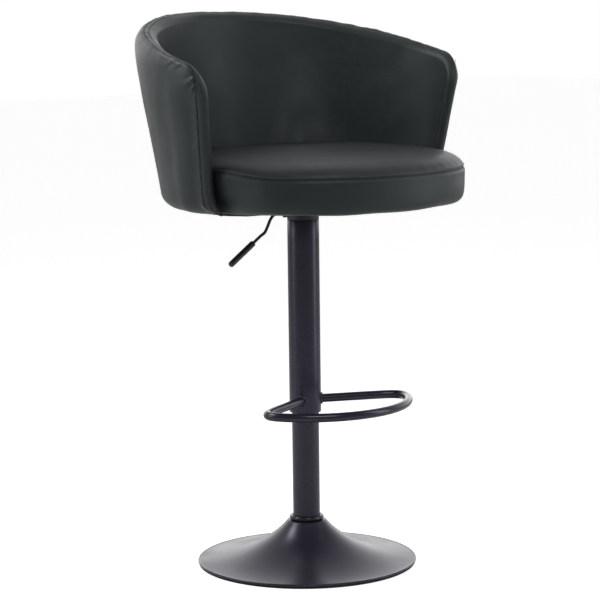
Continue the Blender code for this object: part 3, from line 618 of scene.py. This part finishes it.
def catmull(points, per):
    pts = np.array(points, float)
    pts = np.vstack([2 * pts[0] - pts[1], pts, 2 * pts[-1] - pts[-2]])
    out = []
    for i in range(1, len(pts) - 2):
        p0, p1, p2, p3 = pts[i - 1:i + 3]
        for k in range(per):
            t = k / per
            out.append(0.5 * (2 * p1 + (p2 - p0) * t + (2 * p0 - 5 * p1 + 4 * p2 - p3) * t * t + (3 * p1 - p0 - 3 * p2 + p3) * t**3))
    out.append(pts[-2])
    return np.array(out)


LZ = 0.6640
lever_pts = [(-0.0012, 0.0, LZ), (-0.020, LY * 0.35, LZ), (-0.046, LY, LZ), (-0.066, LY, LZ), (-0.0800, LY, 0.6625), (-0.0885, LY, 0.6550), (-0.0960, LY, 0.6415), (-0.1020, LY, 0.6325), (-0.1120, LY, 0.6265), (-0.1240, LY, 0.6185), (-0.1420, LY, 0.6060)]
lever_path = catmull(lever_pts, 10)
# the hidden inner arm is a little slimmer, so it clears the seat cone when the lever is up
lever_radii = [0.0022 + 0.0006 * min(max((-0.034 - p[0]) / 0.008, 0.0), 1.0) for p in lever_path]
lever = sweep("lever_rod_fine", lever_path, 0.0028, 20, radii=lever_radii)
boss = sweep("lever_boss", [(-0.046, LY - 0.0040 + 0.0008 * k, LZ) for k in range(11)], 0.0048, 28)
finish_piece(boss, "lever", MAT_LEVER)
finish_piece(lever, "lever", MAT_LEVER, ("lever_rod",))
ga, gb = np.array([-0.1285, LY, 0.6154]), np.array([-0.1832, LY, 0.5786])
gl = np.linalg.norm(gb - ga)
stations = [0.0, 0.0004, 0.0014, 0.0030, 0.0050]
gp, gr = [], []
for k in range(61):
    t = k / 60
    t = 0.5 - 0.5 * math.cos(math.pi * t)
    s = t * gl
    r = 0.00565
    if s < 0.0020:
        r = 0.0040 + 0.00165 * math.sqrt(max(0.0, 1 - (1 - s / 0.0020) ** 2))
    if gl - s < 0.0045:
        e = 1 - (gl - s) / 0.0045
        r = 0.00565 * math.sqrt(max(0.0, 1 - e * e)) * 0.75 + 0.00565 * 0.25 * (1 - e**4)
    r -= 0.00016 * math.exp(-((s - 0.0065) / 0.0007) ** 2)
    gp.append(ga + (gb - ga) * t)
    gr.append(max(r, 0.0006))
grip = sweep("lever_grip_fine", gp, 0.005, 32, radii=gr)
finish_piece(grip, "lever", MAT_GRIP, ("lever_grip",))


# ================================================================ upholstery
def outline_distance(psi, z):
    """Distance of a wall point from the wall's free edge, rounded at the arm corners."""
    s = (SHELL_END - np.abs(psi)) * SHELL_R
    h = crest(psi) - z
    rc = ARM_CORNER
    a = np.minimum(s, h)
    corner = (s < rc) & (h < rc)
    ac = rc - np.sqrt((rc - s) ** 2 + (rc - h) ** 2)
    a = np.where(corner, ac, a)
    low = z - SHELL_Z0
    rb = 0.010
    bc = (s < rb) & (low < rb)
    ab = rb - np.sqrt((rb - np.minimum(s, rb)) ** 2 + (rb - np.minimum(low, rb)) ** 2)
    a = np.where(bc, ab, a)
    return np.maximum(a, 0.0), s, h


def column_top(psi):
    s = (SHELL_END - np.abs(psi)) * SHELL_R
    e = np.clip(ARM_CORNER - s, 0, ARM_CORNER)
    return crest(psi) - (ARM_CORNER - np.sqrt(np.maximum(0, ARM_CORNER**2 - e**2)))


def column_bottom(psi):
    s = (SHELL_END - np.abs(psi)) * SHELL_R
    rb = 0.010
    e = np.clip(rb - s, 0, rb)
    return SHELL_Z0 + (rb - np.sqrt(np.maximum(0, rb**2 - e**2)))


def top_weight(s, h):
    return smooth01(0.5 + (s - h) / 0.07)


SEAM_FRONT, SEAM_TOP = 0.0205, 0.0012     # measured over the surface from the edge's ridge


def section(a, wt, T):
    """Depths of the outer and inner faces at a distance from the free edge."""
    bulk = 0.0030 + (0.0045 - 0.0030) * wt
    reach = 0.040 + (0.050 - 0.040) * wt
    dm = T * 0.50
    rho_o = 0.0095 + (0.0250 - 0.0095) * wt
    rho_i = 0.0110 + (0.0160 - 0.0110) * wt
    xo = np.clip(1 - a / rho_o, 0, 1)
    xi = np.clip(1 - a / rho_i, 0, 1)
    d_out = bulk * np.clip(1 - a / reach, 0, 1) ** 2 + (dm - bulk) * (1 - np.sqrt(np.maximum(0, 1 - xo**2)))
    d_in = T - (T - dm) * (1 - np.sqrt(np.maximum(0, 1 - xi**2)))
    return d_out, d_in


def over_edge(a, wt, T):
    """Distances over the outer and inner faces from the ridge to a point at distance a."""
    near = np.minimum(a, 0.065)
    last = section(0 * near, wt, T)
    last_a = 0 * near
    qo, qi = 0 * near, 0 * near
    for k in range(1, 33):
        ak = near * (k / 32) ** 2
        cur = section(ak, wt, T)
        qo = qo + np.hypot(ak - last_a, cur[0] - last[0])
        qi = qi + np.hypot(ak - last_a, cur[1] - last[1])
        last, last_a = cur, ak
    return qo + (a - near), qi + (a - near)


def wall():
    step = 0.0026
    span = 0.040
    n_edge = 60
    tau = np.linspace(0, math.pi / 2, n_edge)
    edge = span * (1 - np.cos(tau))
    mid_count = int(2 * (SHELL_END * SHELL_R - span) / step)
    mids = np.linspace(-(SHELL_END - span / SHELL_R), SHELL_END - span / SHELL_R, mid_count)
    psi = np.r_[-(SHELL_END - edge / SHELL_R), mids[1:-1], (SHELL_END - edge[::-1] / SHELL_R)]
    low_count = 96
    up = 0.042
    tz = np.linspace(math.pi / 2, 0, n_edge)
    up_edge = up * (1 - np.cos(tz))
    zs = []
    for p in psi:
        zt, zb = float(column_top(p)), float(column_bottom(p))
        lin = np.linspace(0, 1, low_count)
        lin = lin + 0.012 * np.sin(2 * math.pi * lin) * 0
        lower = zb + (zt - up - zb) * lin
        zs.append(np.r_[lower, zt - up_edge[1:]])
    Z = np.array(zs)
    P = np.repeat(psi[:, None], Z.shape[1], 1)
    a, s, h = outline_distance(P, Z)
    T = thickness(P)
    wt = top_weight(s, h)
    d_out, d_in = section(a, wt, T)
    zc = SHELL_Z0 + SHELL_ROUND
    under = SHELL_ROUND - np.sqrt(np.maximum(0, SHELL_ROUND**2 - np.clip(zc - Z, 0, SHELL_ROUND) ** 2))
    under *= smooth01((s - 0.0) / 0.020) * 0.75 + 0.25
    d_out = np.maximum(d_out, under)
    q_out, q_in = over_edge(a, wt, T)
    d_in = np.maximum(d_in, d_out + 1e-5)
    outer_p = on_tub(P, d_out, Z)
    inner_p = on_tub(P, d_in, Z)
    ni, nj = P.shape
    # the outer sheet's rows run on into the inner sheet's over the crest, and the bottoms join
    loop = np.concatenate([outer_p, inner_p[:, ::-1][:, 1:]], axis=1)
    nl = loop.shape[1]
    verts = loop.reshape(-1, 3)
    faces = grid_faces(ni, nl, 0, False, True)
    # the first and last columns lie on the edge line: pair the two sheets there
    ids = np.arange(ni * nl).reshape(ni, nl)
    caps = []
    for i in (0, ni - 1):
        for k in range(nj - 2):
            caps.append((ids[i, k], ids[i, k + 1], ids[i, nl - 2 - k], ids[i, nl - 1 - k]))
        caps.append((ids[i, nj - 2], ids[i, nj - 1], ids[i, nj]))
    ob = mesh_object("back_upholstery", verts, [tuple(f) for f in faces] + caps)
    A = np.concatenate([a, a[:, ::-1][:, 1:]], axis=1).ravel()
    S = np.concatenate([s, s[:, ::-1][:, 1:]], axis=1).ravel()
    H = np.concatenate([h, h[:, ::-1][:, 1:]], axis=1).ravel()
    PS = np.concatenate([P, P[:, ::-1][:, 1:]], axis=1).ravel()
    ZZ = np.concatenate([Z, Z[:, ::-1][:, 1:]], axis=1).ravel()
    side = np.concatenate([np.ones_like(a), -np.ones_like(a[:, 1:])], axis=1).ravel()
    Q = np.concatenate([q_out, -q_in[:, ::-1][:, 1:]], axis=1).ravel()
    return ob, A, S, H, PS, ZZ, side, Q


back, A, S, H, PS, ZZ, SIDE, Q = wall()
WT = top_weight(S, H)
seam_q = SEAM_FRONT + (SEAM_TOP - SEAM_FRONT) * WT
outer_mask = SIDE > 0
co = coords(back)
co_plain = co.copy()
nrm = normals(back)
disp = np.zeros(len(co))
along = np.where(S < H, ZZ, PS * SHELL_R)          # distance along the free edge
# the seam is a groove: the outer panel swells up to it, the flat edge band beyond it lies lower
ds = Q - seam_q
groove = bump(ds, 0.0011)
disp -= 0.0016 * groove
disp += 0.0011 * bump(ds - 0.0058, 0.0048) * (ds > 0)
disp += 0.0004 * bump(ds + 0.0030, 0.0022) * (ds < 0)
stitch_row = bump(ds + 0.0088, 0.0010)
disp -= 0.00050 * stitch_row
# puckers drawn in by the seam and by the stitched row
at_edge = np.stack([along, np.sign(PS) * 0.3, 0 * along], axis=1)
disp += 0.00034 * Noise(31, 0.017)(at_edge) * bump(ds - 0.007, 0.010)
disp += 0.00022 * Noise(32, 0.020)(at_edge + [0, 2, 0]) * bump(ds + 0.006, 0.006)
# drawn creases on the outer panel below the arms' upper corners
for sgn, seed in ((-1, 5), (1, 6)):
    g = np.random.default_rng(seed)
    on_side = (np.sign(PS) == sgn) & outer_mask
    for s0, h0, ang, length, amp, wid in (
        (0.0190, 0.0200, 44, 0.032, 0.0036, 0.0042),
        (0.0185, 0.0335, 50, 0.028, 0.0030, 0.0038),
        (0.0185, 0.0500, 57, 0.020, 0.0014, 0.0034),
        (0.0500, 0.0040, 34, 0.022, 0.0018, 0.0030),
        (0.0700, 0.0035, 28, 0.026, 0.0016, 0.0030),
    ):
        s0 = s0 + g.normal() * 0.0008
        ang = math.radians(ang + g.normal() * 3)
        ux, uy = math.cos(ang), math.sin(ang)
        ls = (S - s0) * ux + (H - h0) * uy
        lt = -(S - s0) * uy + (H - h0) * ux + 0.0012 * np.sin(np.maximum(ls, 0) * 130 + s0 * 400)
        fade = np.clip(ls / 0.003, 0, 1) * np.clip(1 - ls / length, 0, 1) ** 0.8 * (ls > 0)
        width = wid * (0.75 + 0.8 * np.clip(ls / length, 0, 1))
        disp += on_side * fade * amp * (0.55 * bump(lt, width) - 0.95 * bump(lt - 1.5 * width, 0.8 * width) - 0.30 * bump(lt + 1.7 * width, width))
# the padded corner swells, and the panel settles below it
round_corner = np.exp(-(((S - 0.046) / 0.026) ** 2 + ((H - 0.036) / 0.026) ** 2))
disp += outer_mask * 0.0022 * round_corner
lower = smooth01((H - 0.025) / 0.05)
disp -= outer_mask * 0.0032 * bump(S - 0.031, 0.013) * lower
disp += outer_mask * 0.0030 * bump(S - 0.068, 0.023) * lower
# slow unevenness of foam under the cover
disp += 0.00060 * Noise(41, 0.16)(co) + 0.00016 * Noise(42, 0.05)(co)
inner_mask = ~outer_mask
low_in = smooth01((0.86 - ZZ) / 0.07) * inner_mask
disp += low_in * 0.0003 * Noise(43, 0.045)(co * [1, 1, 0.45])
edge_keep = smooth01((ZZ - SHELL_Z0) / 0.012)
disp *= np.where(outer_mask, 0.25 + 0.75 * edge_keep, edge_keep)
set_coords(back, co + nrm * disp[:, None])
# the groove mask also paints shade into the leather's colour along the seam groove and the stitched row
put_attribute(back, "groove", np.clip(groove + 0.35 * stitch_row, 0, 1))
# the back wears the painted-lighter copy of the leather
finish_piece(back, "seat", MAT_BACK_PAINTED_LIGHTER, ("back_inner_pad", "back_outer_panel", "back_plywood_core"))


# --------------------------------------------------------------- the cushion
SEAM_Z = 0.7466


def cushion_plan(phi, z):
    psi = math.pi - np.abs(phi)
    T = thickness(psi)
    inside = SHELL_R + SHELL_FLARE * (np.minimum(z, 0.765) - SHELL_RZ) - T - 0.0032
    ahead = smooth01((math.radians(79.0) - np.abs(phi)) / math.radians(27.0))
    front = 0.2720 + 0.0070 * np.sin(2 * phi) ** 2
    return inside * (1 - ahead) + front * ahead, ahead


def spline(points, n):
    pts = catmull([(a, b, 0.0) for a, b in points], 24)[:, :2]
    seg = np.r_[0, np.cumsum(np.linalg.norm(np.diff(pts * [0.26, 1.0], axis=0), axis=1))]
    x = np.linspace(0, seg[-1], n)
    return np.stack([np.interp(x, seg, pts[:, 0]), np.interp(x, seg, pts[:, 1])], axis=1), x


def seam_height(phi):
    a = np.abs(phi)
    return SEAM_Z + 0.0050 * smooth01((a - math.radians(50)) / math.radians(20)) + 0.0070 * smooth01((a - math.radians(62)) / math.radians(18))


def cushion():
    around = 520
    rows = 190
    prof_pts = [(0.0, 0.6905), (0.45, 0.6905), (0.80, 0.6902), (0.848, 0.6896), (0.857, 0.6874), (0.857, 0.6832), (0.853, 0.6809), (0.838, 0.6806), (0.818, 0.6803), (0.814, 0.6799), (0.820, 0.6795), (0.860, 0.6800), (0.905, 0.6818), (0.945, 0.6838), (0.974, 0.6872), (0.991, 0.6955), (0.9985, 0.7090), (1.000, 0.7240), (0.9985, 0.7390), (0.993, 0.7466),
                (0.985, 0.7530), (0.966, 0.7590), (0.930, 0.7655), (0.860, 0.7724), (0.720, 0.7782), (0.480, 0.7822), (0.220, 0.7838), (0.0, 0.7840)]
    prof, arc_len = spline(prof_pts, rows)
    seam_row = arc_len[np.argmin(np.abs(prof[:, 1] - SEAM_Z) + 10 * (prof[:, 0] < 0.9))]
    phi = np.linspace(-math.pi, math.pi, around, endpoint=False)
    PH, SH = np.meshgrid(phi, prof[:, 0], indexing="ij")
    ZP = np.tile(prof[:, 1], (around, 1))
    L = np.tile(arc_len, (around, 1))
    _, ahead = cushion_plan(PH, ZP)
    # the seam climbs where the cushion tucks between the arms
    lift = seam_height(PH) - SEAM_Z
    near = np.exp(-np.abs(L - seam_row) / 0.035)
    Zf = ZP + lift * near * 0.9
    # behind the arms the underside stays up clear of the board's fixings
    open_front = smooth01((math.radians(84.0) - np.abs(PH)) / math.radians(3.0))
    Zf = np.maximum(Zf, 0.6962 * (1 - open_front) + 0.6740 * open_front)
    rho, _ = cushion_plan(PH, Zf)
    below = L < seam_row - 0.030
    wide = SH * 0.272 + (rho - 0.272) * smooth01((SH - 0.88) / 0.12)
    r = np.where(below, wide * open_front + rho * SH * (1 - open_front), rho * SH)
    verts = np.stack([r * np.sin(PH), -(SHELL_C + r * np.cos(PH)), Zf], axis=-1)
    v = verts[:, 1:-1].reshape(-1, 3)
    m = rows - 2
    faces = [tuple(f) for f in grid_faces(around, m, 0, True, False)]
    bottom, topv = len(v), len(v) + 1
    v = np.vstack([v, [0, -SHELL_C, 0.6905], [0, -SHELL_C, 0.7840]])
    for i in range(around):
        j = (i + 1) % around
        faces.append((bottom, j * m, i * m))
        faces.append((topv, i * m + m - 1, j * m + m - 1))
    ob = mesh_object("seat_cushion_cover", v, faces)
    LL = np.r_[L[:, 1:-1].ravel(), 0.0, arc_len[-1]]
    PP = np.r_[PH[:, 1:-1].ravel(), 0.0, 0.0]
    RR = np.r_[r[:, 1:-1].ravel(), 0.0, 0.0]
    return ob, LL, PP, RR, seam_row


seat, L, PHI, RAD, seam_row = cushion()
co = coords(seat)
nrm = normals(seat)
ds = L - seam_row                     # above the seam is positive
arc_s = PHI * 0.270
groove = bump(ds, 0.0009)
disp = -0.0012 * groove
disp += 0.0005 * bump(ds - 0.0045, 0.0026) * (ds > 0) + 0.0006 * bump(ds + 0.0060, 0.0045) * (ds < 0)
stitch_row = bump(ds - 0.0040, 0.0009)
disp -= 0.00035 * stitch_row
disp += 0.00013 * Noise(51, 0.024)(np.stack([arc_s, 0 * arc_s, 0 * arc_s], 1)) * bump(ds + 0.010, 0.012) * (ds < 0)
disp += 0.00016 * Noise(52, 0.030)(np.stack([arc_s, 0 * arc_s + 1, 0 * arc_s], 1)) * bump(ds - 0.012, 0.014) * (ds > 0)
upper = smooth01((ds - 0.02) / 0.06)
disp += upper * (0.0011 * Noise(53, 0.20)(co) + 0.00035 * Noise(54, 0.06)(co))
disp += (1 - upper) * 0.0005 * Noise(55, 0.09)(co)
set_coords(seat, co + nrm * disp[:, None])
# the groove mask also paints shade into the leather's colour along the seam groove and the stitched row
put_attribute(seat, "groove", np.clip(groove + 0.35 * stitch_row, 0, 1))
finish_piece(seat, "seat", MAT_SEAT, ("seat_cushion",))


# ------------------------------------------------------------------ stitches
def seam_curve(offset):
    """Points and normals on the finished cover along the edge seam, shifted across it by an offset."""
    co, nrm = coords(back), normals(back)
    tree = KDTree(len(co_plain))
    for i, p in enumerate(co_plain):
        tree.insert(p, i)
    tree.balance()

    def at(p0, p1, m):
        ps, zz = np.array(p0[0] + (p1[0] - p0[0]) * m), np.array(p0[1] + (p1[1] - p0[1]) * m)
        a, s, h = outline_distance(ps, zz)
        wt, T = top_weight(s, h), thickness(ps)
        return ps, zz, a, wt, T

    def solve(p0, p1):
        ps, zz, a, wt, T = at(p0, p1, 1.0)
        outside = SEAM_FRONT + (SEAM_TOP - SEAM_FRONT) * wt + offset > 0
        lo, hi = 0.0, 1.0
        for _ in range(22):
            m = (lo + hi) / 2
            ps, zz, a, wt, T = at(p0, p1, m)
            target = SEAM_FRONT + (SEAM_TOP - SEAM_FRONT) * wt + offset
            q = over_edge(a, wt, T)
            beyond = q[0] > target if outside else -q[1] < target
            if beyond:
                lo = m
            else:
                hi = m
        d = section(a, wt, T)[0 if outside else 1]
        return on_tub(ps, d, zz)

    z_low = SHELL_Z0 + 0.014
    inner_psi = SHELL_END - 0.075 / SHELL_R
    zc = float(crest(SHELL_END)) - 0.075
    left = [solve((-inner_psi, z), (-SHELL_END, z)) for z in np.linspace(z_low, zc, 46)]
    fan = [solve((-inner_psi, zc), (-inner_psi - math.cos(t) * 0.11 / SHELL_R, zc + math.sin(t) * 0.11)) for t in np.linspace(0, math.pi / 2, 40)[1:-1]]
    tops = [solve((p, float(crest(p)) - 0.075), (p, float(crest(p)))) for p in np.linspace(-inner_psi, inner_psi, 120)]
    flip = lambda pts: [p * [-1, 1, 1] for p in reversed(pts)]
    trace = np.array(left + fan + tops + flip(fan) + flip(left))
    out_p, out_n = [], []
    for p in trace:
        near = tree.find_n(tuple(p), 4)
        w = np.array([1.0 / (d + 1e-5) for _, _, d in near])
        w /= w.sum()
        idx = [i for _, i, _ in near]
        out_p.append(p + ((co[idx] - co_plain[idx]) * w[:, None]).sum(0))
        nn = (nrm[idx] * w[:, None]).sum(0)
        out_n.append(nn / np.linalg.norm(nn))
    return np.array(out_p), np.array(out_n)


def stitch_line(name, P_, N_, pitch, length, radius, lift):
    seg = np.r_[0, np.cumsum(np.linalg.norm(np.diff(P_, axis=0), axis=1))]
    n = int((seg[-1] - length) / pitch)
    k = np.arange(n)[:, None]
    t = k * pitch + np.linspace(0, length, 6)[None, :]
    p = np.stack([np.interp(t, seg, P_[:, i]) for i in range(3)], -1)
    q = np.stack([np.interp(t, seg, N_[:, i]) for i in range(3)], -1)
    q /= np.linalg.norm(q, axis=-1)[..., None]
    hump = np.array([-0.6, 0.25, 0.75, 0.75, 0.25, -0.6]) * radius + lift
    c = p + q * hump[None, :, None]
    d = np.gradient(c, axis=1)
    d /= np.linalg.norm(d, axis=-1)[..., None]
    u = np.cross(d, q)
    u /= np.linalg.norm(u, axis=-1)[..., None]
    w = np.cross(u, d)
    ang = np.arange(6) * math.pi / 3
    rr = radius * np.array([0.5, 0.95, 1.0, 1.0, 0.95, 0.5])
    ring = c[:, :, None, :] + rr[None, :, None, None] * (np.cos(ang)[None, None, :, None] * u[:, :, None, :] + np.sin(ang)[None, None, :, None] * w[:, :, None, :])
    base_f = [tuple(x) for x in grid_faces(6, 6, 0, False, True)] + [tuple(range(5, -1, -1)), tuple(range(30, 36))]
    faces = [tuple(i + 36 * m for i in f) for m in range(n) for f in base_f]
    return mesh_object(name, ring.reshape(-1, 3), faces)


P_, N_ = seam_curve(-0.0088)
thread_back = stitch_line("back_topstitch", P_, N_, 0.0046, 0.0032, 0.00050, 0.00022)
finish_piece(thread_back, "seat", MAT_THREAD)


def cushion_line(offset):
    """Points and normals along a ring of the cushion at a set distance above its seam."""
    co, nrm = coords(seat), normals(seat)
    around = len(np.unique(np.round(PHI[:-2], 9)))
    m = (len(co) - 2) // around
    LL = L[:-2].reshape(around, m)
    C = co[:-2].reshape(around, m, 3)
    Nn = nrm[:-2].reshape(around, m, 3)
    j = np.searchsorted(LL[0], seam_row + offset)
    t = (seam_row + offset - LL[0, j - 1]) / (LL[0, j] - LL[0, j - 1])
    P_ = C[:, j - 1] * (1 - t) + C[:, j] * t
    Q_ = Nn[:, j - 1] * (1 - t) + Nn[:, j] * t
    ph = PHI[:-2].reshape(around, m)[:, 0]
    keep = np.abs(ph) < math.radians(112)
    return P_[keep], Q_[keep]


P_, N_ = cushion_line(0.0040)
thread_seat = stitch_line("cushion_topstitch", P_, N_, 0.0044, 0.0031, 0.00046, 0.00018)
finish_piece(thread_seat, "seat", MAT_THREAD)

# ============================================================ floor and light
THETA = math.radians(39.0)
AZ = -THETA
DIST, HC, PITCH, FOCAL, ROLL, YAW = 4.3, 1.106, math.radians(8.06), 2340.0, math.radians(-0.71), math.radians(-0.1)

floor_mesh = bpy.data.meshes.new("studio_floor")
bm = bmesh.new()
bmesh.ops.create_grid(bm, x_segments=4, y_segments=4, size=14.0)
bm.to_mesh(floor_mesh)
bm.free()
floor = bpy.data.objects.new("studio_floor", floor_mesh)
bpy.context.scene.collection.objects.link(floor)
fm, fnt, fb = new_material("studio_floor_white")
fb.inputs["Base Color"].default_value = (0.90, 0.90, 0.90, 1)
fb.inputs["Roughness"].default_value = 0.75
fb.inputs["Specular IOR Level"].default_value = 0.2
seen = fnt.nodes.new("ShaderNodeLightPath")
fb.inputs["Emission Color"].default_value = (1, 1, 1, 1)
fnt.links.new(math_node(fnt, "MULTIPLY", seen.outputs["Is Camera Ray"], 0.62), fb.inputs["Emission Strength"])
grain = node(fnt, "ShaderNodeTexNoise", Scale=3.0, Detail=2.0)
fnt.links.new(ramp(fnt, grain.outputs["Fac"], [(0.0, grey(0.86)), (1.0, grey(0.92))]).outputs[0], fb.inputs["Base Color"])
floor_mesh.materials.append(fm)

world = bpy.data.worlds.new("studio")
bpy.context.scene.world = world
world.use_nodes = True
wnt = world.node_tree
bg = wnt.nodes["Background"]
bg.inputs[1].default_value = 1.0
wc = wnt.nodes.new("ShaderNodeTexCoord")
path = wnt.nodes.new("ShaderNodeLightPath")
toward = wnt.nodes.new("ShaderNodeVectorMath")
toward.operation = "DOT_PRODUCT"
toward.inputs[1].default_value = (-math.sin(AZ), math.cos(AZ), 0.0)
wnt.links.new(wc.outputs["Generated"], toward.inputs[0])
facing = math_node(wnt, "ADD", math_node(wnt, "MULTIPLY", toward.outputs["Value"], 0.5), 0.5, True)
sky = ramp(wnt, facing, [(0.0, grey(0.13)), (0.05, grey(0.14)), (0.14, grey(0.27)), (0.28, grey(0.42)), (0.50, grey(0.38)), (0.62, grey(0.48)), (0.76, grey(1.3)), (1.0, grey(2.1))])
height = wnt.nodes.new("ShaderNodeSeparateXYZ")
wnt.links.new(wc.outputs["Generated"], height.inputs[0])
sweep_fall = ramp(wnt, height.outputs["Z"], [(0.0, grey(1.0)), (0.22, grey(0.95)), (0.55, grey(0.42)), (1.0, grey(0.30))])
room = mix_color(wnt, 1.0, sky.outputs[0], sweep_fall.outputs[0], "MULTIPLY")
tone = mix_color(wnt, path.outputs["Is Camera Ray"], room, (1.0, 1.0, 1.0))
wnt.links.new(tone, bg.inputs[0])


def area(name, location, target, size_x, size_y, power, color=(1, 1, 1)):
    light = bpy.data.lights.new(name, "AREA")
    light.shape = "RECTANGLE"
    light.size, light.size_y = size_x, size_y
    light.energy = power
    light.color = color
    ob = bpy.data.objects.new(name, light)
    ob.location = location
    ob.rotation_euler = (Vector(target) - Vector(location)).to_track_quat("-Z", "Y").to_euler()
    bpy.context.scene.collection.objects.link(ob)
    return ob


def ground(right, toward, z):
    """A point given as distances to the photographed view's right and towards its camera."""
    return (
        right * math.cos(AZ) + toward * math.sin(AZ),
        right * math.sin(AZ) - toward * math.cos(AZ),
        z,
    )


area("soft_left", ground(-2.4, 0.5, 1.5), (0, 0, 0.7), 1.0, 2.6, 17)
area("soft_right", ground(2.5, 0.2, 1.3), (0, 0, 0.6), 0.9, 2.6, 20)
area("overhead", ground(0.3, -0.5, 3.0), (0, 0, 0.6), 2.4, 1.6, 7)
area("front_top", ground(0.5, 2.0, 2.5), (0, 0.12, 0.88), 1.5, 1.0, 24)
area("shoulder_kick", ground(-1.5, -0.3, 2.2), (-0.15, 0, 0.9), 0.45, 0.7, 14)

cam = bpy.data.cameras.new("view")
cam.sensor_width = 36.0
cam.lens = FOCAL / 600 * 36.0
cam_ob = bpy.data.objects.new("view", cam)
bpy.context.scene.collection.objects.link(cam_ob)
r0 = Vector((math.cos(AZ), math.sin(AZ), 0))
f0 = Vector((-math.sin(AZ), math.cos(AZ), 0))
up0 = Vector((0, 0, 1))
right = r0 * math.cos(YAW) - f0 * math.sin(YAW)
fwd = r0 * math.sin(YAW) + f0 * math.cos(YAW)
fw = fwd * math.cos(PITCH) - up0 * math.sin(PITCH)
upv = up0 * math.cos(PITCH) + fwd * math.sin(PITCH)
cr = right * math.cos(ROLL) + upv * math.sin(ROLL)
cu = upv * math.cos(ROLL) - right * math.sin(ROLL)
loc = Vector((DIST * math.sin(AZ), -DIST * math.cos(AZ), HC))
cam_ob.matrix_world = Matrix((
    (cr.x, cu.x, -fw.x, loc.x), (cr.y, cu.y, -fw.y, loc.y), (cr.z, cu.z, -fw.z, loc.z), (0, 0, 0, 1)))
scene = bpy.context.scene
scene.camera = cam_ob
scene.view_settings.view_transform = "Standard"
scene.view_settings.look = "None"
